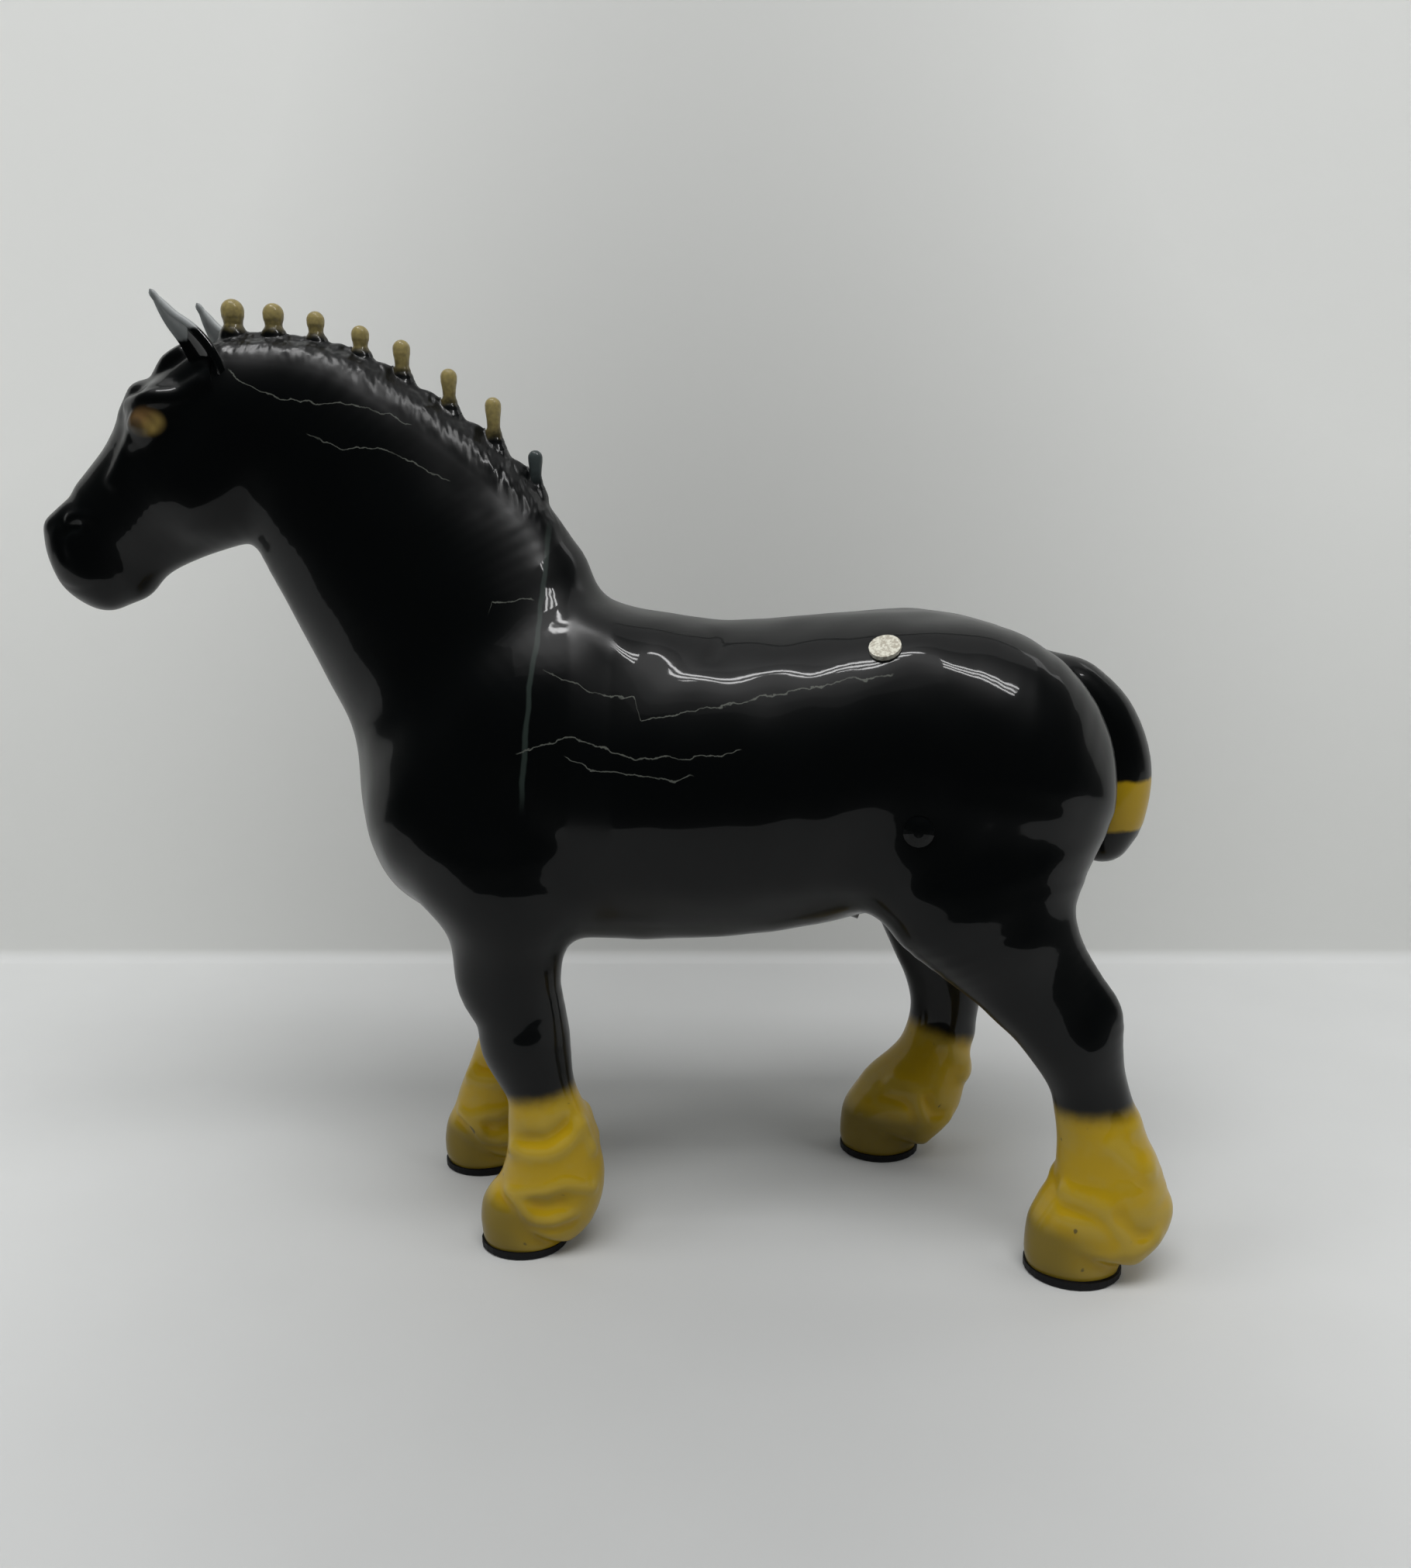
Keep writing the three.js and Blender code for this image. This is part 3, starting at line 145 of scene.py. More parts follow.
OFF_HIND_LEG = [
    [80, HIND_Y - 4, 88, 11.5, 18], [79, HIND_Y - 3, 79, 10, 15.5], [80, HIND_Y - 2, 70, 9.4, 13],
    [82.3, HIND_Y - 1.5, 62, 9, 11.6], [84.6, HIND_Y - 1, 54, 9, 10.5], [85.9, HIND_Y - 0.5, 46, 8.2, 9.5],
    [85.9, HIND_Y, 39.5, 8.4, 8.8], [85, HIND_Y, 33, 9.2, 8.9], [83.2, HIND_Y, 26, 10.4, 9.9],
    [80, HIND_Y, 19, 12, 12.2], [76.5, HIND_Y, 13.5, 12.6, 13.8], [74.5, HIND_Y, 9, 12.4, 13.8],
]
OFF_HOCK = [
    [87, HIND_Y - 2.5, 80, 3.5, 3.5], [92, HIND_Y - 1.5, 67.5, 4, 4], [94, HIND_Y - 1, 61, 4.6, 4.6],
    [92.5, HIND_Y - 1, 54, 4, 4],
]
OFF_HIND_HOOF = [
    [69.8, HIND_Y, 9, 9.6, 10.7], [69.4, HIND_Y, 5, 9.8, 10.4],
    [69, HIND_Y, 1.8, 8, 8.9], [69, HIND_Y, -2, 7.6, 8.5],
]
TAIL = [
    [99, 0, 133.5, TAIL_HALF - 3.5, 5.4], [108.4, 0, 129.7, TAIL_HALF - 2, 6.6],
    [115.4, 0, 120.6, TAIL_HALF - 0.5, 8], [118.4, 0, 110.5, TAIL_HALF, 8.5],
    [118, 0, 100.6, TAIL_HALF - 0.4, 8.1], [116.6, 0, 94.8, TAIL_HALF - 2, 6.6],
]


# The mane: a plait along the crest, and bobbles as x, height of the tip, radius of the ball
PLAIT_RADIUS = 2.2
PLAIT_LUMP = 0.5
PLAIT_LIFT = -1.3
BOBBLES = [
    (-82.4, 216.0, 2.5), (-73.5, 215.1, 2.3), (-64.2, 213.5, 2.05), (-54.5, 210.4, 2.0),
    (-45.4, 207.3, 1.9), (-35.1, 201.2, 1.85), (-25.4, 195.0, 1.8), (-16.2, 183.4, 1.5),
]
BOBBLE_STEM_SHARE = 0.8      # radius of the stem as a share of the ball's
BOBBLE_FLARE = 1.3           # radius where it stands on the plait, as a share of the ball's


# Swept forms on a grid

STATION_STEP = 2.5
FAR = 20.0


def refine(rows):
    """Catmull-Rom refinement of a form's rows, one step about every STATION_STEP."""
    rows = np.array(rows, dtype=float)
    points = np.vstack([2 * rows[0] - rows[1], rows, 2 * rows[-1] - rows[-2]])
    result = [rows[0]]
    for i in range(1, len(rows)):
        p0, p1, p2, p3 = points[i - 1:i + 3]
        steps = max(1, math.ceil(np.linalg.norm(p2[:3] - p1[:3]) / STATION_STEP))
        for step in range(1, steps + 1):
            t = step / steps
            result.append(0.5 * (2 * p1 + (p2 - p0) * t + (2 * p0 - 5 * p1 + 4 * p2 - p3) * t * t
                                 + (3 * p1 - p0 - 3 * p2 + p3) * t ** 3))
    return np.array(result)


def mirrored(rows):
    return [[row[0], -row[1], *row[2:]] for row in rows]


def smooth_union(a, b, blend):
    h = np.maximum(blend - np.abs(a - b), 0) / blend
    return np.minimum(a, b) - h * h * h * blend / 6


class Form:
    """A swept form. A row is x, y, z of the spine, then the half width across the body and the
    half depth in the side view. A carved form is taken away instead of added."""

    def __init__(self, blend, rows, ends=1.0, carved=False):
        self.stations = refine(rows)
        self.blend = 2 * blend
        self.ends = ends
        self.carved = carved
        self.reach = self.stations[:, 3:5].max() + self.blend + 2
        self.low = self.stations[:, :3].min(axis=0) - self.reach
        self.high = self.stations[:, :3].max(axis=0) + self.reach

    def segment_value(self, start, end, x, y, z):
        along = end[:3] - start[:3]
        length = np.linalg.norm(along)
        along = along / length
        across = np.array([0, 1, 0]) - along * along[1]
        across = across / np.linalg.norm(across)
        deep = np.cross(along, across)
        along, across, deep = (axis.astype(np.float32) for axis in (along, across, deep))
        rx = x - np.float32(start[0])
        ry = y - np.float32(start[1])
        rz = z - np.float32(start[2])
        w = rx * along[0] + ry * along[1] + rz * along[2]
        u = rx * across[0] + ry * across[1] + rz * across[2]
        v = rx * deep[0] + ry * deep[1] + rz * deep[2]
        t = np.clip(w / np.float32(length), 0, 1)
        a = np.float32(start[3]) + np.float32(end[3] - start[3]) * t
        b = np.float32(start[4]) + np.float32(end[4] - start[4]) * t
        e = np.minimum(a, b) * np.float32(self.ends)
        ua, vb, we = u / a, v / b, (w - t * np.float32(length)) / e
        scaled = np.sqrt(ua * ua + vb * vb + we * we)
        ua, vb, we = ua / a, vb / b, we / e
        slope = np.sqrt(ua * ua + vb * vb + we * we) + np.float32(1e-9)
        return np.where(scaled > 1e-6, scaled * (scaled - 1) / slope, -e)

    def distance(self, x, y, z):
        """Value at any points: near the surface it is the distance, negative inside."""
        value = np.full(np.broadcast(x, y, z).shape, FAR, dtype=np.float32)
        for start, end in zip(self.stations, self.stations[1:]):
            value = np.minimum(value, self.segment_value(start, end, x, y, z))
        return value


class Block:
    """A box of the field on a regular grid."""

    def __init__(self, low, high, cell):
        self.low = np.array(low, dtype=float)
        self.cell = cell
        self.axes = [np.arange(a, b + cell, cell).astype(np.float32) for a, b in zip(low, high)]
        self.shape = tuple(len(axis) for axis in self.axes)

    def span(self, low, high):
        ends = [np.searchsorted(axis, (a, b)) for axis, a, b in zip(self.axes, low, high)]
        return tuple(slice(a, b) for a, b in ends)

    def coordinates(self, span):
        x, y, z = (axis[part] for axis, part in zip(self.axes, span))
        return x[:, None, None], y[None, :, None], z[None, None, :]

    def form_value(self, form):
        """The form's own field over its part of the block, or nothing if it is outside."""
        span = self.span(form.low, form.high)
        if any(part.stop <= part.start for part in span):
            return None
        value = np.full([part.stop - part.start for part in span], FAR, dtype=np.float32)
        for start, end in zip(form.stations, form.stations[1:]):
            low = np.minimum(start, end)[:3] - form.reach
            high = np.maximum(start, end)[:3] + form.reach
            near = self.span(low, high)
            near = tuple(slice(max(a.start, b.start), min(a.stop, b.stop)) for a, b in zip(near, span))
            if any(part.stop <= part.start for part in near):
                continue
            local = tuple(slice(a.start - b.start, a.stop - b.start) for a, b in zip(near, span))
            part_value = form.segment_value(start, end, *self.coordinates(near))
            value[local] = np.minimum(value[local], part_value)
        return span, value

    def field(self, forms, start=None):
        total = np.full(self.shape, FAR, dtype=np.float32) if start is None else start.copy()
        with ThreadPoolExecutor(4) as pool:
            values = list(pool.map(self.form_value, forms))
        for form, found in zip(forms, values):
            if found is None:
                continue
            span, value = found
            if form.carved:
                total[span] = -smooth_union(-total[span], value, form.blend)
            else:
                total[span] = smooth_union(total[span], value, form.blend)
        return total

    def softened(self, field):
        """A light blur, which takes out the creases between the steps of a spine."""
        reach = max(1, round(2.5 * SOFTEN / self.cell))
        offsets = np.arange(-reach, reach + 1) * self.cell
        weights = np.exp(-offsets ** 2 / (2 * SOFTEN ** 2))
        weights = (weights / weights.sum()).astype(np.float32)
        for axis in range(3):
            padded = np.pad(field, [(reach, reach) if k == axis else (0, 0) for k in range(3)], mode="edge")
            length = field.shape[axis]
            parts = [np.take(padded, range(i, i + length), axis=axis) * weight
                     for i, weight in enumerate(weights)]
            field = np.sum(parts, axis=0, dtype=np.float32)
        return field

    def sample(self, field, points):
        """Trilinear value of a field at points."""
        place = (points - self.low) / self.cell
        top = np.array(self.shape) - 2
        corner = np.clip(np.floor(place).astype(int), 0, top)
        t = np.clip(place - corner, 0, 1)
        result = np.zeros(len(points))
        for dx in (0, 1):
            for dy in (0, 1):
                for dz in (0, 1):
                    weight = (t[:, 0] if dx else 1 - t[:, 0]) * (t[:, 1] if dy else 1 - t[:, 1])
                    weight = weight * (t[:, 2] if dz else 1 - t[:, 2])
                    result += weight * field[corner[:, 0] + dx, corner[:, 1] + dy, corner[:, 2] + dz]
        return result

    def slope(self, field, points):
        step = self.cell
        axes = np.eye(3) * step
        return np.stack([self.sample(field, points + axis) - self.sample(field, points - axis)
                         for axis in axes], axis=1) / (2 * step)

    def hollowness(self, field, points, step):
        """Above 0 in hollows and below 0 on ridges, in parts of 1 / mm."""
        around = sum(self.sample(field, points + offset * step) for axis in np.eye(3)
                     for offset in (axis, -axis))
        return (6 * self.sample(field, points) - around) / step ** 2

    def skin(self, field):
        grid = openvdb.FloatGrid()
        grid.background = FAR
        grid.copyFromArray(np.ascontiguousarray(field))
        points, quads = grid.convertToQuads(isovalue=0.0)
        quads = np.asarray(quads).astype(np.int64)
        faces = np.vstack([quads[:, [0, 1, 2]], quads[:, [0, 2, 3]]])
        return np.asarray(points, dtype=float) * self.cell + self.low, faces


# Cutting a skin into pieces

def unit(vectors):
    return vectors / np.maximum(np.linalg.norm(vectors, axis=-1, keepdims=True), 1e-12)


def rim_loops(edges):
    """Closed loops of points, from directed edges."""
    after = dict(edges)
    loops = []
    while after:
        start, point = after.popitem()
        loop = [start]
        while point != start and point in after:
            loop.append(point)
            point = after.pop(point)
        if len(loop) > 2:
            loops.append(loop)
    return loops


def zipped(points, loop):
    """Flat strips of triangles across a loop, from one end of it to the other."""
    places = points[loop]
    spread = places - places.mean(axis=0)
    axis = np.linalg.svd(spread, full_matrices=False)[2][0]
    reach = spread @ axis
    first, last = int(reach.argmin()), int(reach.argmax())
    count = len(loop)
    ahead = [(first + i) % count for i in range((last - first) % count + 1)]
    back = [(first - i) % count for i in range((first - last) % count + 1)]
    faces = []
    i = j = 0
    while i < len(ahead) - 1 or j < len(back) - 1:
        back_done = j == len(back) - 1
        if i < len(ahead) - 1 and (back_done or reach[ahead[i + 1]] <= reach[back[j + 1]]):
            corners = (ahead[i], ahead[i + 1], back[j])
            i += 1
        else:
            corners = (ahead[i], back[j + 1], back[j])
            j += 1
        if len(set(corners)) == 3:
            faces.append([loop[k] for k in corners])
    return faces


class Skin:
    """A closed skin: points, triangles, and which of the triangles are flat cuts."""

    def __init__(self, points, faces, cut=None):
        self.points = points
        self.faces = faces
        self.cut = np.zeros(len(faces), dtype=bool) if cut is None else cut

    def kept(self, values):
        """The part where the values are 0 or more, closed across the cut."""
        inside = values >= 0
        count = inside[self.faces].sum(axis=1)
        whole = count == 3
        crossing = np.flatnonzero((count == 1) | (count == 2))
        if not len(crossing):
            return self
        rows = self.faces[crossing]
        single = count[crossing] == 1
        odd = np.where(single[:, None], inside[rows], ~inside[rows]).argmax(axis=1)
        rows = np.stack([rows[np.arange(len(rows)), (odd + k) % 3] for k in range(3)], axis=1)
        ends = np.vstack([rows[:, [0, 1]], rows[:, [0, 2]]])
        ends = np.sort(ends, axis=1)
        edges, owner = np.unique(ends, axis=0, return_inverse=True)
        owner = owner.reshape(-1)
        low, high = values[edges[:, 0]], values[edges[:, 1]]
        t = (low / (low - high))[:, None]
        crossings = self.points[edges[:, 0]] * (1 - t) + self.points[edges[:, 1]] * t
        base = len(self.points)
        ab = base + owner[:len(rows)]
        ac = base + owner[len(rows):]
        a, b, c = rows.T
        tips = np.stack([a, ab, ac], axis=1)[single]
        bases = np.vstack([np.stack([ab, b, c], axis=1)[~single], np.stack([ab, c, ac], axis=1)[~single]])
        was_cut = self.cut[crossing]
        rim = [*zip(ac[single].tolist(), ab[single].tolist()),
               *zip(ab[~single].tolist(), ac[~single].tolist())]
        points = np.vstack([self.points, crossings])
        caps = [face for loop in rim_loops(rim) for face in zipped(points, loop)]
        faces = np.vstack([self.faces[whole], tips, bases, np.array(caps).reshape(-1, 3)])
        cut = np.concatenate([self.cut[whole], was_cut[single], was_cut[~single], was_cut[~single],
                              np.ones(len(caps), dtype=bool)])
        used, faces = np.unique(faces, return_inverse=True)
        return Skin(points[used], faces.reshape(-1, 3), cut)

    def above(self, function):
        return self.kept(function(self.points))


def past(joint, points):
    """Distance past a joint plane, positive on the head side of it."""
    lean = math.radians(joint["lean"])
    return (points[:, 0] - joint["x"]) * -math.sin(lean) + (points[:, 2] - joint["z"]) * math.cos(lean)


# The lumps that the glaze leaves: a few long waves, the same for every piece

WAVES = np.random.default_rng(7)
WAVE_COUNT = 14
wave_ways = unit(WAVES.normal(size=(WAVE_COUNT, 3)))
wave_lengths = WAVES.uniform(*LUMP_LENGTH, WAVE_COUNT)
wave_numbers = wave_ways * (2 * math.pi / wave_lengths)[:, None]
wave_phases = WAVES.uniform(0, 2 * math.pi, WAVE_COUNT)


def lumps(points):
    """Height and slope of the glaze's lumps at points."""
    turn = points @ wave_numbers.T + wave_phases
    height = LUMP_HEIGHT / math.sqrt(WAVE_COUNT)
    return np.sin(turn).sum(axis=1) * height, np.cos(turn) @ wave_numbers * height


# Blender objects

def add_object(name, points, faces, normals=None, attributes=None):
    """A mesh object from points in millimetres. Normals are one for each corner."""
    mesh = bpy.data.meshes.new(name)
    mesh.vertices.add(len(points))
    mesh.vertices.foreach_set("co", (points * MM).astype(np.float32).ravel())
    mesh.loops.add(faces.size)
    mesh.loops.foreach_set("vertex_index", faces.ravel().astype(np.int32))
    mesh.polygons.add(len(faces))
    mesh.polygons.foreach_set("loop_start", np.arange(0, faces.size, 3, dtype=np.int32))
    mesh.update(calc_edges=True)
    mesh.validate()
    mesh.polygons.foreach_set("use_smooth", np.ones(len(mesh.polygons), dtype=bool))
    if normals is not None and len(mesh.loops) == len(normals):
        mesh.normals_split_custom_set(normals.astype(np.float32))
    for key, values in (attributes or {}).items():
        layer = mesh.attributes.new(key, "FLOAT", "POINT")
        layer.data.foreach_set("value", values.astype(np.float32))
    obj = bpy.data.objects.new(name, mesh)
    bpy.context.scene.collection.objects.link(obj)
    return obj


def finish_piece(obj, node, material):
    obj.data.materials.append(material)
    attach(obj, "root")
    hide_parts(node)
    return obj


def add_skin(name, skin, block, field, attributes=None):
    """A piece from its skin: the lumps go on, and the normals follow the field."""
    normals = unit(block.slope(field, skin.points))
    height, slope = lumps(skin.points)
    points = skin.points + normals * height[:, None]
    slope -= normals * (slope * normals).sum(axis=1, keepdims=True)
    normals = unit(normals - slope)
    corners = normals[skin.faces.ravel()]
    a, b, c = (points[skin.faces[:, k]] for k in range(3))
    flat = unit(np.cross(b - a, c - a))
    flat_corners = np.repeat(flat, 3, axis=0)
    corners = np.where(np.repeat(skin.cut, 3)[:, None], flat_corners, corners)
    return add_object(name, points, skin.faces, corners, attributes)


# Forms of each part of the horse

def both_sides(blend, rows):
    return [Form(blend, rows), Form(blend, mirrored(rows))]


TRUNK_FORMS = [
    Form(6, BARREL), *both_sides(8, BREAST), *both_sides(8, SHOULDER), *both_sides(8, UPPER_ARM),
    Form(8, WITHERS), *both_sides(8, HAUNCH), *both_sides(8, THIGH), *both_sides(8, STIFLE),
]
HEAD_FORMS = [
    Form(7, NECK), Form(5, CREST), Form(5, SKULL), *both_sides(4, CHEEK), *both_sides(3, ORBIT),
    Form(3.5, FACE), Form(3.5, MUZZLE), Form(3.5, CHIN), Form(4, JAW),
]
LEG_BLEND = 5
LEG_ENDS = 0.3
HOCK_BLEND = 4
HOOF_BLEND = 1.6
LIMB_FORMS = [
    Form(LEG_BLEND, NEAR_FORE_LEG, LEG_ENDS), Form(HOOF_BLEND, NEAR_FORE_HOOF),
    Form(LEG_BLEND, OFF_FORE_LEG, LEG_ENDS), Form(HOOF_BLEND, OFF_FORE_HOOF),
    Form(LEG_BLEND, NEAR_HIND_LEG, LEG_ENDS), Form(HOCK_BLEND, NEAR_HOCK), Form(HOOF_BLEND, NEAR_HIND_HOOF),
    Form(LEG_BLEND, OFF_HIND_LEG, LEG_ENDS), Form(HOCK_BLEND, OFF_HOCK), Form(HOOF_BLEND, OFF_HIND_HOOF),
]
HORSE_FORMS = TRUNK_FORMS + HEAD_FORMS + LIMB_FORMS
TAIL_FORM = Form(1.2, TAIL)


def value_at(forms, points):
    """The horse's field at a few points, without a grid."""
    x, y, z = points.T.astype(np.float32)
    total = np.full(len(points), FAR, dtype=np.float32)
    for form in forms:
        total = smooth_union(total, form.distance(x, y, z), form.blend)
    return total


def reach_along(forms, start, way, longest=40.0, step=0.25):
    """How far a ray from inside runs before it leaves the horse."""
    steps = np.arange(0, longest, step)
    values = value_at(forms, start + steps[:, None] * way)
    i = int(np.argmax(values > 0))
    return steps[i - 1] + step * values[i - 1] / (values[i - 1] - values[i])


# The crest, found by rays from the middle of the neck

def crest_points(count=12):
    shares = np.linspace(0, 1, count)[1:]
    middle_x = np.interp(shares, [0, 0.38, 0.74, 1], [NECK_BASE["x"], -50, -66, THROAT["x"]])
    middle_z = np.interp(shares, [0, 0.38, 0.74, 1], [NECK_BASE["z"], 160, 177, THROAT["z"]])
    leans = np.radians(NECK_BASE["lean"] + (THROAT["lean"] - NECK_BASE["lean"]) * shares)
    points = []
    for x, z, lean in zip(middle_x, middle_z, leans):
        way = np.array([math.cos(lean), 0, math.sin(lean)])
        start = np.array([x, 0, z])
        points.append(start + way * (reach_along(TRUNK_FORMS + HEAD_FORMS, start, way) + PLAIT_LIFT))
    return np.array(points)[::-1]


CREST_LINE = refine(crest_points())
CREST_STEPS = np.concatenate([[0], np.cumsum(np.linalg.norm(np.diff(CREST_LINE, axis=0), axis=1))])


def crest_at(distance):
    return np.array([np.interp(distance, CREST_STEPS, CREST_LINE[:, k]) for k in range(3)])


BOBBLE_PLACES = [float(np.interp(x, CREST_LINE[:, 0], CREST_STEPS)) for x, _, _ in BOBBLES]
KNOTS_PER_BOBBLE = 2


def plait_rows(step=1.1):
    """Rows of the plait, which swells at each knot; every second knot carries a bobble."""
    rows = []
    spacing = BOBBLE_PLACES[1] - BOBBLE_PLACES[0]
    places = [BOBBLE_PLACES[0] - spacing, *BOBBLE_PLACES, BOBBLE_PLACES[-1] + spacing]
    for distance in np.arange(0.8, CREST_STEPS[-1] - 0.8, step):
        knots = KNOTS_PER_BOBBLE * np.interp(distance, places, range(len(places)))
        radius = PLAIT_RADIUS + PLAIT_LUMP * math.cos(2 * math.pi * knots)
        rows.append([*crest_at(distance), radius, radius])
    return rows


def bobble_rows(place, tip_height, radius):
    foot = crest_at(place)
    height = tip_height - foot[2]
    shape = [
        (0.0, BOBBLE_FLARE + 0.35), (0.2, BOBBLE_FLARE), (0.38, 1.02), (0.56, BOBBLE_STEM_SHARE),
        (0.74, BOBBLE_STEM_SHARE + 0.06), (0.9, 0.98), (1.0, 1.0),
    ]
    top = height - radius
    return [[foot[0], 0, foot[2] + share * top, radius * wide, radius * wide] for share, wide in shape]


PLAIT_FORM = Form(0.7, plait_rows())
BOBBLE_FORMS = [Form(0.6, bobble_rows(place, tip, radius))
                for place, (_, tip, radius) in zip(BOBBLE_PLACES, BOBBLES)]


# A ridge under the belly, and a shallow dent across the back
TRUNK_DETAILS = [
    Form(2, [[58, 0, 78.5, 5, 3.6], [62, 0, 77, 5.5, 4], [67, 0, 76.4, 5, 3.4]]),
    Form(1.5, [[23.4, -11, 146.5, 1.2, 1.2], [24.6, -16, 143.6, 1.4, 1.2], [23.6, -21, 140, 1, 1]],
         carved=True),
]


# Cast and applied pieces, cut out of the skin of the whole horse

def own_value(form, block):
    """A form's field over the whole of a block."""
    value = np.full(block.shape, FAR, dtype=np.float32)
    found = block.form_value(form)
    if found:
        span, near = found
        value[span] = near
    return value


def joint_height(points):
    height = np.where(points[:, 0] < 30, FORE_JOINT_HEIGHT, 0)
    return np.where(points[:, 0] > 58, HIND_JOINT_HEIGHT, height)


def make_trunk_and_tail(glaze, tail_glaze):
    block = Block((-76, -46, 62), (132, 46, 182), TRUNK_CELL)
    body = block.field(HORSE_FORMS + TRUNK_DETAILS)
    tail_value = own_value(TAIL_FORM, block)
    edge = block.softened(tail_value - body)
    whole = block.softened(smooth_union(body, tail_value, TAIL_FORM.blend))
    skin = Skin(*block.skin(whole))
    trunk = skin.above(lambda p: -past(NECK_BASE, p)).above(lambda p: p[:, 2] - joint_height(p))
    trunk = trunk.above(lambda p: block.sample(edge, p))
    tail = skin.above(lambda p: -block.sample(edge, p))
    finish_piece(add_skin("trunk_skin", trunk, block, whole), "trunk", glaze)
    finish_piece(add_skin("tail_skin", tail, block, whole), "tail", tail_glaze)


def mane_edges(block, body):
    """Where the plait and the bobbles take over from the neck: below 0 on their side."""
    plait = own_value(PLAIT_FORM, block)
    plaited = smooth_union(body, plait, PLAIT_FORM.blend)
    bobbles = np.full(block.shape, FAR, dtype=np.float32)
    for form in BOBBLE_FORMS:
        found = block.form_value(form)
        if found:
            span, near = found
            bobbles[span] = np.minimum(bobbles[span], near)
    whole = smooth_union(plaited, bobbles, BOBBLE_FORMS[0].blend)
    return whole, plait - body, bobbles - plaited


MANE_REACH = 30.0


def mane_nearness(points):
    """1 on the line of the crest, down to 0 at MANE_REACH from it."""
    far = np.full(len(points), MANE_REACH)
    for place in CREST_LINE:
        far = np.minimum(far, np.linalg.norm(points - place, axis=1))
    return 1 - far / MANE_REACH


def make_neck(glaze, mane_glaze):
    block = Block((-92, -34, 92), (-8, 34, 220), NECK_CELL)
    whole, plait_edge, bobble_edge = mane_edges(block, block.field(HORSE_FORMS))
    whole = block.softened(whole)
    skin = Skin(*block.skin(whole)).above(lambda p: block.sample(bobble_edge, p))
    neck = skin.above(lambda p: past(NECK_BASE, p)).above(lambda p: -past(THROAT, p))
    neck = neck.above(lambda p: block.sample(plait_edge, p))
    plait = skin.above(lambda p: -block.sample(plait_edge, p))
    for name, node, piece, material in (("neck_skin", "neck", neck, glaze),
                                        ("plait_skin", "mane_plait", plait, mane_glaze)):
        near = {"mane": mane_nearness(piece.points)}
        finish_piece(add_skin(name, piece, block, whole, near), node, material)


def make_bobbles(material):
    for i, (place, (x, tip, radius)) in enumerate(zip(BOBBLE_PLACES, BOBBLES), 1):
        reach = 2.6 * radius
        block = Block((x - reach, -reach, crest_at(place)[2] - 3), (x + reach, reach, tip + 2), BOBBLE_CELL)
        whole, _, bobble_edge = mane_edges(block, block.field(HORSE_FORMS))
        bobble = Skin(*block.skin(whole)).above(lambda p: -block.sample(bobble_edge, p))
        name = f"mane_bobble_{i}"
        foot = crest_at(place)[2]
        rise = (bobble.points[:, 2] - foot) / (tip - foot)
        finish_piece(add_skin(name + "_skin", bobble, block, whole, {"rise": rise}), name,
                     material)


def make_head(glaze):
    block = Block((-132, -24, 144), (-74, 24, 212), HEAD_CELL)
    whole, plait_edge, bobble_edge = mane_edges(block, block.field(HORSE_FORMS + HEAD_DETAILS))
    whole = block.softened(whole)
    skin = Skin(*block.skin(whole)).above(lambda p: block.sample(bobble_edge, p))
    head = skin.above(lambda p: past(THROAT, p)).above(lambda p: block.sample(plait_edge, p))
    finish_piece(add_skin("head_skin", head, block, whole), "head", glaze)


LIMBS = {
    "near_fore_leg": ((-46, -44), (6, -3), FORE_JOINT_HEIGHT),
    "off_fore_leg": ((-52, 3), (0, 44), FORE_JOINT_HEIGHT),
    "near_hind_leg": ((62, -54), (136, -8), HIND_JOINT_HEIGHT),
    "off_hind_leg": ((52, 8), (112, 54), HIND_JOINT_HEIGHT),
}


def make_leg(name, glaze):
    (x_low, y_low), (x_high, y_high), top = LIMBS[name]
    block = Block((x_low, y_low, -3), (x_high, y_high, top + 4), LEG_CELL)
    field = block.softened(block.field(HORSE_FORMS + LEG_DETAILS[name]))
    skin = Skin(*block.skin(field)).above(lambda p: p[:, 2] - SOLE_TOP).above(lambda p: top - p[:, 2])
    hollow = block.hollowness(field, skin.points, 2.0)
    leg = add_skin(name + "_skin", skin, block, field, {"hollow": hollow})
    finish_piece(leg, name, glaze)


# Details, placed by x and z in the side view and laid on the surface

SPINES = {
    "near_fore_leg": -FORE_Y, "off_fore_leg": FORE_Y, "near_hind_leg": -HIND_Y, "off_hind_leg": HIND_Y,
}


def laid(forms, points, side, centre, sink, radius):
    """Rows of a small form laid on a side of the horse that faces away from `centre`."""
    rows = []
    for x, z in points:
        start = np.array([x, centre, z])
        if value_at(forms, start[None])[0] > -radius:
            continue
        reach = reach_along(forms, start, np.array([0, side, 0]), longest=26.0)
        rows.append([x, centre + side * (reach - sink), z, radius, radius])
    return rows


def on_head(blend, points, sink, radius, carved=False):
    sides = [laid(HEAD_FORMS, points, side, 0, sink, radius) for side in (-1, 1)]
    return [Form(blend, rows, carved=carved) for rows in sides if len(rows) > 1]


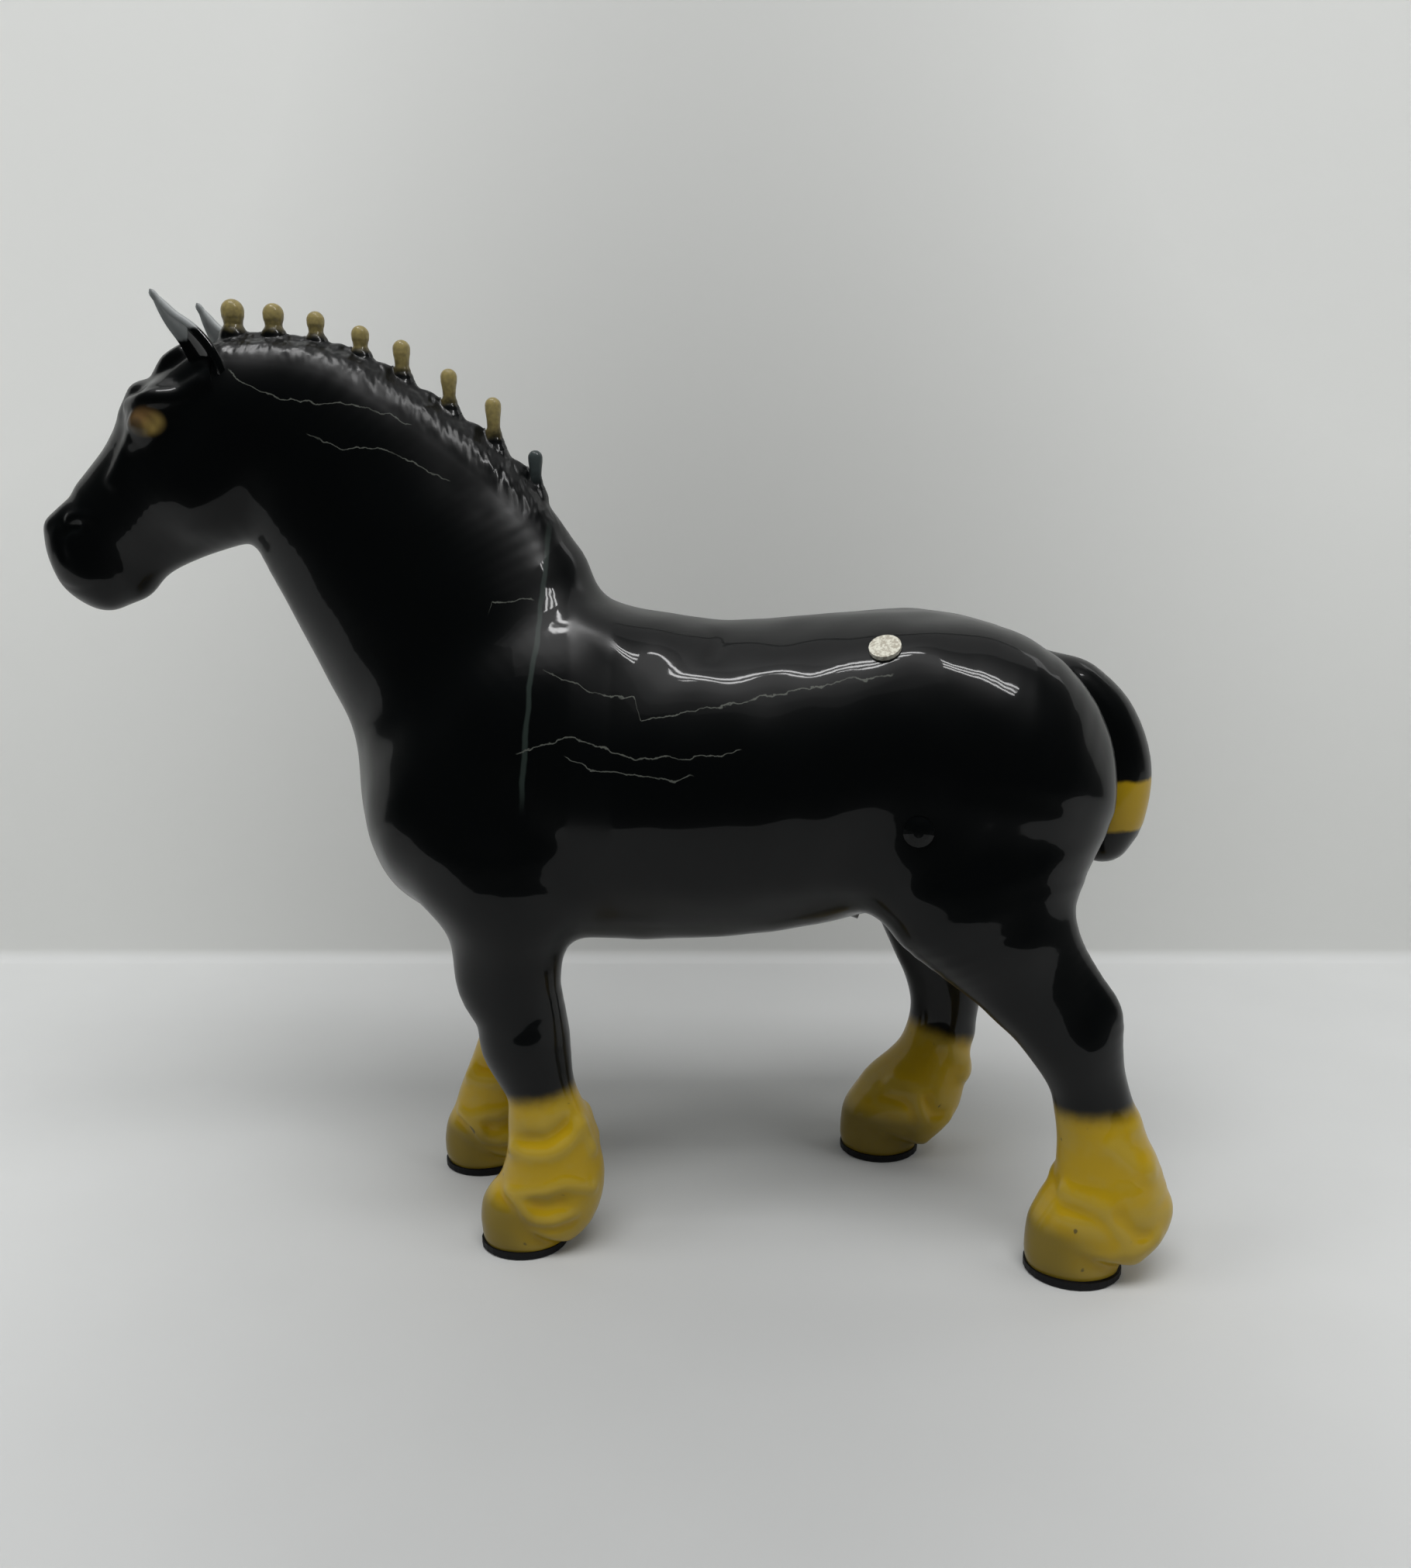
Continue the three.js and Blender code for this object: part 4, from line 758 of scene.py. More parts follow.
HEAD_DETAILS = [
    Form(1.0, [[-92.4, 0, 203.8, 6, 3], [-95.6, 0, 201.6, 6.2, 3.2], [-97.6, 0, 199.2, 5.4, 3]]),
    Form(1.8, [[-102.6, 0, 195, 7, 3.6], [-104.8, 0, 191, 7, 2.9]]),
    Form(1.5, [[-121, 0, 169.2, 5.5, 3], [-124.2, 0, 166.6, 6, 3]]),
    *on_head(1.0, [(-102.4, 192.6), (-98.6, 193), (-95, 193.6), (-91.6, 194), (-88.6, 195.2),
                   (-85.8, 196.8)], 0.8, 1.9),
    *on_head(1.4, [(-99.8, 188.8), (-97.4, 188.2)], 0.2, 2.4, True),
    *on_head(0.3, [(-99.4, 188.3), (-98.8, 188.2)], 2.0, 2.3),
    *on_head(0.4, [(-101.8, 188.4), (-100.6, 190.4), (-98.4, 191), (-96.2, 190), (-95, 188)], 0.5, 0.75),
    *on_head(0.4, [(-101.8, 187.8), (-100.4, 186), (-98.2, 185.6), (-96.2, 186.4), (-95, 188)], 0.55, 0.7),
    *on_head(1.2, [(-101.8, 185), (-103.6, 182.6), (-105.4, 179.4), (-107.2, 176.4)], 1.5, 2.0),
    *on_head(1.2, [(-83.4, 198.4), (-81.4, 199), (-80, 200.2)], 1.0, 1.8),
    *on_head(0.6, [(-120.4, 165), (-119, 166.4), (-117, 166.7)], 0.1, 0.95, True),
    *on_head(0.7, [(-121.4, 166), (-119.8, 168.2), (-117, 169), (-113.4, 168.4)], 0.5, 1.0),
    *on_head(0.8, [(-120.9, 168), (-121.1, 164), (-120.5, 159.8)], -0.2, 0.7, True),
    *on_head(0.5, [(-122.5, 153.4), (-118, 152.6), (-113.4, 153.6)], -0.15, 0.4, True),
]


FOLD_SINK = 0.3               # how much deeper than they stand out the folds are laid, in mm
FAINT_SINK = 0.8              # the same where the feather is smoother


def on_leg(name, blend, points, sink, radius, carved=False):
    """The same fold on the outer and the inner side of a leg."""
    centre = SPINES[name]
    deeper = FAINT_SINK if name == "near_hind_leg" else FOLD_SINK
    sink += -deeper if carved else deeper
    sides = [laid(HORSE_FORMS, points, side, centre, sink, radius) for side in (-1, 1)]
    return [Form(1.3 * blend, rows, carved=carved) for rows in sides if len(rows) > 1]


def moved(points, dx, lean=0.0):
    """Points moved along X, the more the higher they lie."""
    return [(x + dx + lean * z, z) for x, z in points]


HEM = [(-23.4, 16.4), (-19.4, 17.3), (-15.4, 18.2), (-10.6, 19.8), (-7.6, 18.6), (-4.8, 17.2)]
UNDER_HEM = [(-17, 14.6), (-14, 14.5), (-11, 15.2)]
CORONET = [(-25, 17.2), (-21.4, 15.4), (-19.4, 12.6), (-18.6, 10.8), (-13, 10.6), (-9, 12)]
BELOW_CORONET = [(-26, 14.6), (-23, 12.8), (-20.6, 9.8), (-14.6, 8.4), (-8.4, 9)]
UPPER_FOLD = [(-21.6, 26.6), (-15.4, 27), (-10.9, 28.6), (-7.8, 32)]
ABOVE_FOLD = [(-20, 29.8), (-14, 30.6), (-9.6, 33)]
REAR_FOLD = [(-7.4, 31.4), (-5.2, 26), (-3.6, 20)]


def under_heel(heel_x, centre, lift=0.0):
    """The hollow between the floor and the feather that hangs over the heel."""
    rows = [[heel_x, centre, lift - 2, 20, 6.6], [heel_x + 8, centre, lift - 0.4, 20, 7.4 + lift / 2]]
    return Form(0.8, rows, carved=True)


def fore_folds(name, dx, heel_x):
    """Folds of the feather over a fore hoof, and the hollow under the heel."""
    centre = SPINES[name]
    return [
        *on_leg(name, 0.8, moved(HEM, dx), 0.7, 1.3),
        *on_leg(name, 1.4, moved(UNDER_HEM, dx), -0.8, 1.8, True),
        *on_leg(name, 0.8, moved(CORONET, dx), 0.8, 1.3),
        *on_leg(name, 0.9, moved(BELOW_CORONET, dx), -0.5, 0.9, True),
        *on_leg(name, 1.3, moved(UPPER_FOLD, dx), 1.3, 1.8),
        *on_leg(name, 1.5, moved(ABOVE_FOLD, dx), -0.9, 1.4, True),
        *on_leg(name, 1.3, moved(REAR_FOLD, dx), 1.1, 1.6),
        under_heel(heel_x, centre),
    ]


HIND_CORONET = [(96.5, 20), (101, 18.6), (106, 18.4), (109.6, 16.4), (112, 12.6), (114, 7)]
HIND_HEM = [(103, 21.6), (108, 20.8), (111.4, 18.6), (114.2, 14.6)]
HIND_CLEFT = [(112.4, 19), (114.4, 16.8), (117, 14.6), (120, 13.4)]
HIND_TUFT = [(113.6, 10.4), (117.6, 10.8), (121, 12.6)]
HIND_REAR_FOLD = [(111, 33), (115.4, 29), (119, 27)]
HIND_DIP = [(103, 30), (107, 29)]
HIND_HEEL_LIFT = 4            # how much higher the feather hangs over a hind heel, in mm


def hind_folds(name, heel_x, dx=0.0, lean=0.0):
    centre = SPINES[name]
    return [
        *on_leg(name, 0.7, moved(HIND_CORONET, dx, lean), -0.7, 1.2, True),
        *on_leg(name, 1.2, moved(HIND_HEM, dx, lean), 1.3, 1.7),
        *on_leg(name, 1.2, moved(HIND_CLEFT, dx, lean), -0.7, 1.5, True),
        *on_leg(name, 1.2, moved(HIND_TUFT, dx, lean), 1.1, 1.7),
        *on_leg(name, 1.4, moved(HIND_REAR_FOLD, dx, lean), 1.5, 1.8),
        *on_leg(name, 1.6, moved(HIND_DIP, dx, lean), -1.3, 1.7, True),
        under_heel(heel_x, centre, HIND_HEEL_LIFT),
    ]


def ball(x, y, z, radius, wide):
    return Form(1.0, [[x - 0.3, y, z, wide, radius], [x + 0.3, y, z, wide, radius]])


LEG_DETAILS = {
    "near_fore_leg": fore_folds("near_fore_leg", 0.6, -4.4),
    "off_fore_leg": fore_folds("off_fore_leg", -16.2, -20.4),
    "near_hind_leg": [
        *hind_folds("near_hind_leg", 122.2),
        ball(115, -HIND_Y, 36, 4, 7), ball(117.4, -HIND_Y, 26.4, 5.4, 9), ball(121.4, -HIND_Y, 16, 6, 8.2),
    ],
    "off_hind_leg": [
        *hind_folds("off_hind_leg", 85.6, -41.2, 0.47),
        ball(89.4, HIND_Y, 34, 4.4, 7), ball(88.6, HIND_Y, 24, 5, 8.5),
    ],
}


# Materials

class Nodes:
    """A material's node tree, one short call to a node."""

    def __init__(self, name):
        self.material = bpy.data.materials.new(name)
        self.material.use_nodes = True
        self.tree = self.material.node_tree
        self.shader = self.tree.nodes["Principled BSDF"]
        self.place = self.add("ShaderNodeTexCoord").outputs["Object"]

    def add(self, kind, inputs=None, **settings):
        node = self.tree.nodes.new(kind)
        for key, value in settings.items():
            setattr(node, key, value)
        for key, value in (inputs or {}).items():
            self.feed(node.inputs[key], value)
        return node

    def feed(self, socket, value):
        if isinstance(value, bpy.types.NodeSocket):
            self.tree.links.new(value, socket)
        else:
            socket.default_value = value

    def set(self, **inputs):
        for key, value in inputs.items():
            self.feed(self.shader.inputs[key.replace("_", " ")], value)

    def noise(self, length, detail=2.0, roughness=0.5, vector=None, distortion=0.0):
        """Noise whose waves are about `length` millimetres long."""
        return self.add("ShaderNodeTexNoise", {
            "Vector": vector or self.place, "Scale": 1 / (length * MM), "Detail": detail,
            "Roughness": roughness, "Distortion": distortion,
        }).outputs["Fac"]

    def math(self, operation, a, b=0.0, clamp=False):
        node = self.add("ShaderNodeMath", operation=operation, use_clamp=clamp)
        self.feed(node.inputs[0], a)
        self.feed(node.inputs[1], b)
        return node.outputs[0]

    def ramp(self, value, start, end, low=0.0, high=1.0):
        return self.add("ShaderNodeMapRange", {
            "Value": value, "From Min": start, "From Max": end, "To Min": low, "To Max": high,
        }, interpolation_type="SMOOTHSTEP").outputs[0]

    def times(self, a, b):
        return self.math("MULTIPLY", a, b)

    def plus(self, a, b):
        return self.math("ADD", a, b)

    def less(self, a, b):
        return self.math("SUBTRACT", a, b)

    def between(self, share, low, high):
        return self.plus(self.times(share, high - low), low)

    def mix(self, factor, a, b):
        node = self.add("ShaderNodeMix", data_type="RGBA")
        self.feed(node.inputs["Factor"], factor)
        self.feed(node.inputs[6], a)
        self.feed(node.inputs[7], b)
        return node.outputs[2]

    def axis(self, which):
        return self.add("ShaderNodeSeparateXYZ", {"Vector": self.place}).outputs[which]

    def bump(self, height, distance, under=None):
        """Relief of `distance` millimetres, on top of another one if there is one `under` it."""
        inputs = {"Height": height, "Distance": distance * MM}
        if under:
            inputs["Normal"] = under
        return self.add("ShaderNodeBump", inputs).outputs["Normal"]


BLACK = (0.001, 0.0014, 0.0015, 1)
OCHRE = (0.37, 0.24, 0.007, 1)
AMBER = (0.38, 0.215, 0.002, 1)
THIN_OCHRE = (0.36, 0.25, 0.028, 1)
OLIVE_TOE = (0.14, 0.1, 0.012, 1)
GOLD = (0.27, 0.22, 0.085, 1)
CLAY_PALE = (0.66, 0.65, 0.56, 1)
CLAY_DARK = (0.4, 0.37, 0.3, 1)
# the grey of the painted reflection streak down the near shoulder
REFLECTION_STREAK_GREY = (0.018, 0.025, 0.022, 1)
PALE_LINE_GREY = (0.075, 0.08, 0.07, 1)
NOSE_OCHRE = (0.2, 0.14, 0.02, 1)
EYE_BROWN = (0.11, 0.065, 0.025, 1)
EYE_GOLD = (0.21, 0.15, 0.045, 1)
EYE_DARK = (0.02, 0.018, 0.014, 1)
SPECK_BROWN = (0.05, 0.045, 0.02, 1)
GOLD_WORN = (0.22, 0.18, 0.075, 1)
BOBBLE_GREY = (0.04, 0.05, 0.05, 1)
EAR_GREY = (0.19, 0.205, 0.205, 1)
EAR_PALE = (0.26, 0.275, 0.275, 1)
SOLE_BLACK = (0.004, 0.004, 0.005, 1)
FLOOR_GREY = (0.63, 0.64, 0.635, 1)
FLOOR_PALE = (0.68, 0.69, 0.685, 1)
WALL_PALE = (0.76, 0.77, 0.75, 1)
ROOM_DARK = (0.02, 0.021, 0.022, 1)
OUTER_PALE = (0.62, 0.63, 0.625, 1)
OUTER_PAINTED_GLOW = (0.97, 0.99, 1.0, 1)
COAT_ROUGHNESS = 0.05
HAZE_ROUGHNESS = 0.25


def gloss(nodes, coat_roughness=COAT_ROUGHNESS, under=None):
    """What every gloss glaze shares: a mirror coat with a faint orange peel over a hazier body."""
    relief = nodes.bump(nodes.noise(2.6, detail=1.0), 0.012, under=under)
    nodes.set(Roughness=0.36, IOR=1.5, Specular_IOR_Level=0.09, Normal=relief)
    nodes.set(Coat_Weight=0.34, Coat_Roughness=coat_roughness, Coat_IOR=1.5, Coat_Normal=relief)


def black_glaze():
    nodes = Nodes("black glaze")
    nodes.set(Base_Color=BLACK)
    gloss(nodes)
    return nodes.material


# Thin pale lines painted on the black glaze, through the points given as x and z.
PALE_LINES = [
    [(-12.6, 137), (-3, 132.5), (7.2, 130.7), (8.5, 126.4), (22.9, 129), (36, 131.5), (50, 134.3),
     (62, 136)],
    [(-18, 119.7), (-5.5, 123.3), (7.6, 118.6), (22.8, 119.7), (30, 121)],
    [(-7.8, 119.2), (-0.6, 116.1), (8.4, 115.8), (15.6, 114.6), (20, 116)],
    [(-80.6, 199.6), (-73.6, 194.8), (-61.8, 192.6), (-54.8, 193), (-41.6, 188.8)],
    [(-63.8, 186.4), (-55.6, 182.8), (-47.8, 183.6), (-33.2, 176.4)],
    [(-25, 147), (-24, 150.4), (-15, 151)],
]


def pale_line(nodes, x, z, points):
    """A thin line through the points, as x and z, painted paler on the black."""
    (x_low, _), (x_high, _) = points[0], points[-1]
    low, high = min(p[1] for p in points), max(p[1] for p in points)
    share = nodes.add("ShaderNodeMapRange", {"Value": x, "From Min": x_low * MM, "From Max": x_high * MM})
    curve = nodes.add("ShaderNodeFloatCurve", {"Value": share.outputs["Result"]})
    knots = curve.mapping.curves[0].points
    for i, (px, pz) in enumerate(points):
        place = (px - x_low) / (x_high - x_low), (pz - low) / (high - low)
        knot = knots.new(*place) if 0 < i < len(points) - 1 else knots[0 if i == 0 else len(knots) - 1]
        knot.location = place
        knot.handle_type = "VECTOR"
    curve.mapping.update()
    height = nodes.between(curve.outputs["Value"], low * MM, high * MM)
    wander = nodes.times(nodes.less(nodes.noise(3.4, detail=4.0), 0.5), 3.0 * MM)
    off = nodes.less(nodes.plus(z, wander), height)
    inside = nodes.times(nodes.ramp(x, x_low * MM, (x_low + 1) * MM),
                        nodes.ramp(x, x_high * MM, (x_high - 1) * MM))
    return nodes.times(nodes.ramp(nodes.math("ABSOLUTE", off), 0.18 * MM, 0.06 * MM), inside)


def body_glaze():
    """Black, with a painted reflection streak down the near shoulder and thin painted pale lines."""
    nodes = Nodes("body glaze")
    x, y, z = (nodes.axis(which) for which in "XYZ")
    near = nodes.ramp(y, -3 * MM, -7 * MM)
    # Painted reflection: a thin grey streak down the near shoulder, put into the base colour.
    drift = nodes.times(nodes.less(nodes.noise(9.0), 0.5), 1.6 * MM)
    streak_x = nodes.plus(nodes.times(z, 0.074), drift)
    off = nodes.math("ABSOLUTE", nodes.less(x, nodes.less(streak_x, 24.8 * MM)))
    reflection_streak = nodes.times(nodes.ramp(off, 0.75 * MM, 0.3 * MM), near)
    reflection_streak = nodes.times(reflection_streak, nodes.ramp(z, 106 * MM, 114 * MM))
    reflection_streak = nodes.times(reflection_streak, nodes.ramp(z, 172 * MM, 160 * MM))
    lines = [pale_line(nodes, x, z, points) for points in PALE_LINES]
    line = lines[0]
    for other in lines[1:]:
        line = nodes.math("MAXIMUM", line, other)
    worn = nodes.ramp(nodes.noise(5.0, detail=2.0), 0.3, 0.5, 0.35, 1.0)
    line = nodes.times(nodes.times(line, near), worn)
    colour = nodes.mix(reflection_streak, BLACK, REFLECTION_STREAK_GREY)
    colour = nodes.mix(line, colour, PALE_LINE_GREY)
    nodes.set(Base_Color=colour)
    mane = nodes.add("ShaderNodeAttribute", attribute_name="mane").outputs["Fac"]
    patchy = nodes.ramp(nodes.noise(14.0, detail=2.0), 0.3, 0.5, 0.3, 1.0)
    haze = nodes.times(nodes.ramp(mane, 0.1, 0.5), patchy)
    aside = nodes.math("ABSOLUTE", nodes.plus(x, 2.4 * MM))
    haze = nodes.math("MAXIMUM", haze, nodes.ramp(aside, 6 * MM, 3.6 * MM))
    stretched = nodes.add("ShaderNodeMapping", {"Vector": nodes.place, "Scale": (1, 0.6, 0.3)}).outputs[0]
    hair = nodes.noise(2.2, detail=1.0, vector=stretched)
    strands = nodes.times(hair, nodes.ramp(mane, 0.62, 0.84))
    gloss(nodes, nodes.between(haze, COAT_ROUGHNESS, HAZE_ROUGHNESS), nodes.bump(strands, 0.9))
    return nodes.material


def head_glaze():
    """Black, with a thin ochre line down the nose and a brown ring round each eye."""
    nodes = Nodes("head glaze")
    x, y, z = (nodes.axis(which) for which in "XYZ")
    across = nodes.math("ABSOLUTE", y)
    blaze = nodes.ramp(across, 3.4 * MM, 1.6 * MM)
    blaze = nodes.times(blaze, nodes.ramp(z, 191 * MM, 186 * MM))
    blaze = nodes.times(blaze, nodes.ramp(z, 158 * MM, 162 * MM))
    front = nodes.plus(nodes.times(z, 0.86), x)
    blaze = nodes.times(blaze, nodes.ramp(front, 41 * MM, 37 * MM))
    side = nodes.ramp(across, 6 * MM, 9 * MM)

    def spot(cx, cz, wide, high, soft):
        dx = nodes.math("DIVIDE", nodes.less(x, cx * MM), wide * MM)
        dz = nodes.math("DIVIDE", nodes.less(z, cz * MM), high * MM)
        far = nodes.plus(nodes.times(dx, dx), nodes.times(dz, dz))
        return nodes.times(nodes.ramp(far, 1 + soft, 1 - soft), side)

    patch = spot(-97.8, 188.8, 3.4, 2.7, 0.9)
    eye = spot(-99.7, 187.6, 1.5, 1.9, 0.8)
    gold = nodes.ramp(nodes.less(x, z), -288.5 * MM, -283.5 * MM)
    ring = nodes.mix(gold, EYE_BROWN, EYE_GOLD)
    colour = nodes.mix(blaze, BLACK, NOSE_OCHRE)
    colour = nodes.mix(patch, colour, ring)
    colour = nodes.mix(nodes.times(eye, 0.6), colour, EYE_DARK)
    nodes.set(Base_Color=colour)
    gloss(nodes)
    return nodes.material


def tail_glaze():
    nodes = Nodes("tail glaze")
    height = nodes.axis("Z")
    ragged = nodes.times(nodes.noise(3.0), 1.2 * MM)
    place = nodes.less(height, ragged)
    above = nodes.ramp(place, 95.8 * MM, 97.2 * MM)
    below = nodes.ramp(place, 109.2 * MM, 107.8 * MM)
    band = nodes.times(above, below)
    nodes.set(Base_Color=nodes.mix(band, BLACK, OCHRE))
    gloss(nodes)
    return nodes.material


def sock_glaze(name, front, height, rise):
    """Black down to the sock, and ochre that pools to amber in the hollows."""
    nodes = Nodes(name)
    x, z = nodes.axis("X"), nodes.axis("Z")
    slope = nodes.times(nodes.less(x, front * MM), rise)
    ragged = nodes.times(nodes.noise(4.0, detail=3.0), 1.6 * MM)
    edge = nodes.less(nodes.less(z, slope), ragged)
    sock = nodes.ramp(edge, (height + 1.4) * MM, (height - 4) * MM)
    hollow = nodes.add("ShaderNodeAttribute", attribute_name="hollow").outputs["Fac"]
    blotch = nodes.less(nodes.noise(6.0, detail=3.0), 0.5)
    streak = nodes.less(nodes.noise(1.6, detail=2.0), 0.5)
    pooled = nodes.plus(hollow, nodes.times(blotch, 0.45))
    pooled = nodes.plus(pooled, nodes.times(streak, 0.12))
    colour = nodes.mix(nodes.ramp(pooled, -0.16, 0.05), THIN_OCHRE, OCHRE)
    colour = nodes.mix(nodes.ramp(pooled, 0.16, 0.7), colour, AMBER)
    toe = nodes.times(nodes.ramp(x, (front + 12) * MM, (front - 1) * MM),
                     nodes.ramp(z, 16 * MM, 11 * MM))
    colour = nodes.mix(nodes.times(toe, 0.9), colour, OLIVE_TOE)
    speck = nodes.ramp(nodes.noise(2.6, detail=0.0), 0.82, 0.87)
    colour = nodes.mix(nodes.times(speck, 0.8), colour, SPECK_BROWN)
    nodes.set(Base_Color=nodes.mix(sock, BLACK, colour))
    gloss(nodes)
    return nodes.material


def bobble_glaze():
    """Gold at the top and black at the foot; the last bobble was left a dull grey."""
    nodes = Nodes("bobble glaze")
    rise = nodes.add("ShaderNodeAttribute", attribute_name="rise").outputs["Fac"]
    blotch = nodes.times(nodes.less(nodes.noise(1.8), 0.5), 0.2)
    cover = nodes.ramp(nodes.plus(rise, blotch), 0.2, 0.75)
    worn = nodes.mix(nodes.ramp(nodes.noise(0.9, detail=3.0), 0.35, 0.65), GOLD_WORN, GOLD)
    last = nodes.ramp(nodes.axis("X"), -21 * MM, -19 * MM)
    worn = nodes.mix(last, worn, BOBBLE_GREY)
    nodes.set(Base_Color=nodes.mix(cover, BLACK, worn))
    gloss(nodes)
    return nodes.material


def satin_ear_glaze():
    nodes = Nodes("satin ear glaze")
    x, z = nodes.axis("X"), nodes.axis("Z")
    step = nodes.ramp(x, -89.6 * MM, -88.6 * MM, 0.0, 2.2 * MM)
    height = nodes.less(z, step)
    cover = nodes.ramp(nodes.plus(height, nodes.times(nodes.noise(2.0), 1 * MM)),
                       206.2 * MM, 207.2 * MM)
    grain = nodes.noise(1.2, detail=3.0)
    satin = nodes.mix(grain, EAR_GREY, EAR_PALE)
    nodes.set(Base_Color=nodes.mix(cover, BLACK, satin))
    nodes.set(Roughness=nodes.ramp(cover, 0.0, 1.0, 0.1, 0.46), IOR=1.5)
    return nodes.material


def sole_black():
    nodes = Nodes("dull black sole")
    nodes.set(Base_Color=SOLE_BLACK, Roughness=0.55, Specular_IOR_Level=0.2)
    nodes.set(Normal=nodes.bump(nodes.noise(0.6), 0.05))
    return nodes.material


def bare_clay():
    nodes = Nodes("bare clay")
    grain = nodes.noise(0.7, detail=4.0)
    nodes.set(Base_Color=nodes.mix(nodes.ramp(grain, 0.4, 0.6), CLAY_DARK, CLAY_PALE), Roughness=0.85)
    nodes.set(Normal=nodes.bump(grain, 0.12))
    return nodes.material


# Camera, lights, floor and wall

CAMERA_PLACE = (22.2, -314.6, 168.0)
CAMERA_PITCH = 11.0
FOCAL_PIXELS = 1750.0
PHOTO_HEIGHT = 2023.0
WALL_Y = 190.0
FLOOR_FRONT_Y = -285.0
STAGE_HALF = 1500.0
WALL_HEIGHT = 480.0
COVE_RADIUS = 5.0
COVE_STEPS = 8
APRON_HALF = 4000.0
APRON_DROP = 1.0
ROOM_SEEN = 26.0
LAMP_TURN = 25.0              # the lamp's right end comes forward by this many degrees


def make_camera():
    data = bpy.data.cameras.new("camera")
    data.sensor_width = 36
    data.lens = FOCAL_PIXELS / PHOTO_HEIGHT * data.sensor_width
    camera = bpy.data.objects.new("camera", data)
    camera.location = Vector(CAMERA_PLACE) * MM
    camera.rotation_euler = (math.radians(90 - CAMERA_PITCH), 0, 0)
    bpy.context.scene.collection.objects.link(camera)
    bpy.context.scene.camera = camera


def area_light(name, place, aim, size, power, glossy=True, colour=(1, 1, 1)):
    data = bpy.data.lights.new(name, "AREA")
    data.shape = "RECTANGLE"
    data.size, data.size_y = size[0] * MM, size[1] * MM
    data.energy = power
    data.color = colour
    light = bpy.data.objects.new(name, data)
    light.location = Vector(place) * MM
    way = Vector(aim) - Vector(place)
    light.rotation_euler = way.to_track_quat("-Z", "Y").to_euler()
    light.visible_glossy = glossy
    bpy.context.scene.collection.objects.link(light)
    return light


def white_paper():
    """Painted shade: darker in the middle and towards the wall, paler at the sides and higher up the wall;
    clear when it is seen from behind.
    """
    nodes = Nodes("white paper")
    x, y, height = (nodes.axis(which) for which in "XYZ")
    # Painted shade: these ramps darken the paper's colour in the middle, near the wall and low down.
    aside = nodes.math("ABSOLUTE", nodes.less(x, 20 * MM))
    upright = nodes.ramp(height, 1 * MM, COVE_RADIUS * MM)
    by_side = nodes.ramp(aside, 0.0, 260 * MM, 0.7, 1.0)
    by_height = nodes.ramp(height, 0.0, 360 * MM, -0.1, 0.2)
    by_depth = nodes.ramp(y, 0.0, 170 * MM, 0.1, 0.04)
    shade = nodes.plus(nodes.plus(by_side, by_height), by_depth)
    shade = nodes.less(shade, nodes.times(upright, 0.1))
    floor = nodes.mix(nodes.noise(60.0, detail=3.0), FLOOR_GREY, FLOOR_PALE)
    paper = nodes.mix(upright, floor, WALL_PALE)
    painted_shade_paper = nodes.add("ShaderNodeVectorMath", {0: paper, 1: nodes.math("MINIMUM", shade, 1.0)},
                     operation="MULTIPLY").outputs[0]
    nodes.set(Base_Color=painted_shade_paper, Roughness=0.9)
    behind = nodes.add("ShaderNodeNewGeometry").outputs["Backfacing"]
    clear = nodes.add("ShaderNodeBsdfTransparent").outputs[0]
    sheet = nodes.add("ShaderNodeMixShader", {0: behind, 1: nodes.shader.outputs[0], 2: clear}).outputs[0]
    nodes.feed(nodes.tree.nodes["Material Output"].inputs["Surface"], sheet)
    return nodes.material


def outer_floor_paint():
    """Lit like the paper near the horse, and further out a painted glow, where no lamp reaches."""
    nodes = Nodes("outer floor")
    x, y = nodes.axis("X"), nodes.axis("Y")
    away = nodes.math("SQRT", nodes.plus(nodes.times(x, x), nodes.times(y, y)))
    # Painted light: the floor glows more the further it lies from the middle.
    nodes.set(Base_Color=OUTER_PALE, Roughness=0.9, Emission_Color=OUTER_PAINTED_GLOW,
              Emission_Strength=nodes.ramp(away, 500 * MM, 1600 * MM, 0.0, 0.42))
    return nodes.material


def make_stage():
    """A floor that turns up into a wall behind the horse."""
    cove_y = WALL_Y - COVE_RADIUS
    profile = [(FLOOR_FRONT_Y, 0.0), (cove_y, 0.0)]
    for step in range(1, COVE_STEPS + 1):
        angle = math.radians(90 * step / COVE_STEPS)
        profile.append((cove_y + COVE_RADIUS * math.sin(angle), COVE_RADIUS * (1 - math.cos(angle))))
    profile.append((WALL_Y, WALL_HEIGHT))
    points = np.array([[x, y, z] for y, z in profile for x in (-STAGE_HALF, STAGE_HALF)])
    faces = []
    for i in range(len(profile) - 1):
        a = 2 * i
        faces += [[a, a + 1, a + 3], [a, a + 3, a + 2]]
    stage = add_object("paper_floor", points, np.array(faces))
    stage.data.materials.append(white_paper())


def make_apron():
    """More floor all round, which only shows to a camera on another side."""
    far = APRON_HALF
    points = np.array([[-far, -far, -APRON_DROP], [far, -far, -APRON_DROP],
                       [far, far, -APRON_DROP], [-far, far, -APRON_DROP]])
    apron = add_object("outer_floor", points, np.array([[0, 1, 2], [0, 2, 3]]))
    apron.data.materials.append(outer_floor_paint())
    for kind in ("glossy", "diffuse", "transmission", "volume_scatter", "shadow"):
        setattr(apron, "visible_" + kind, False)


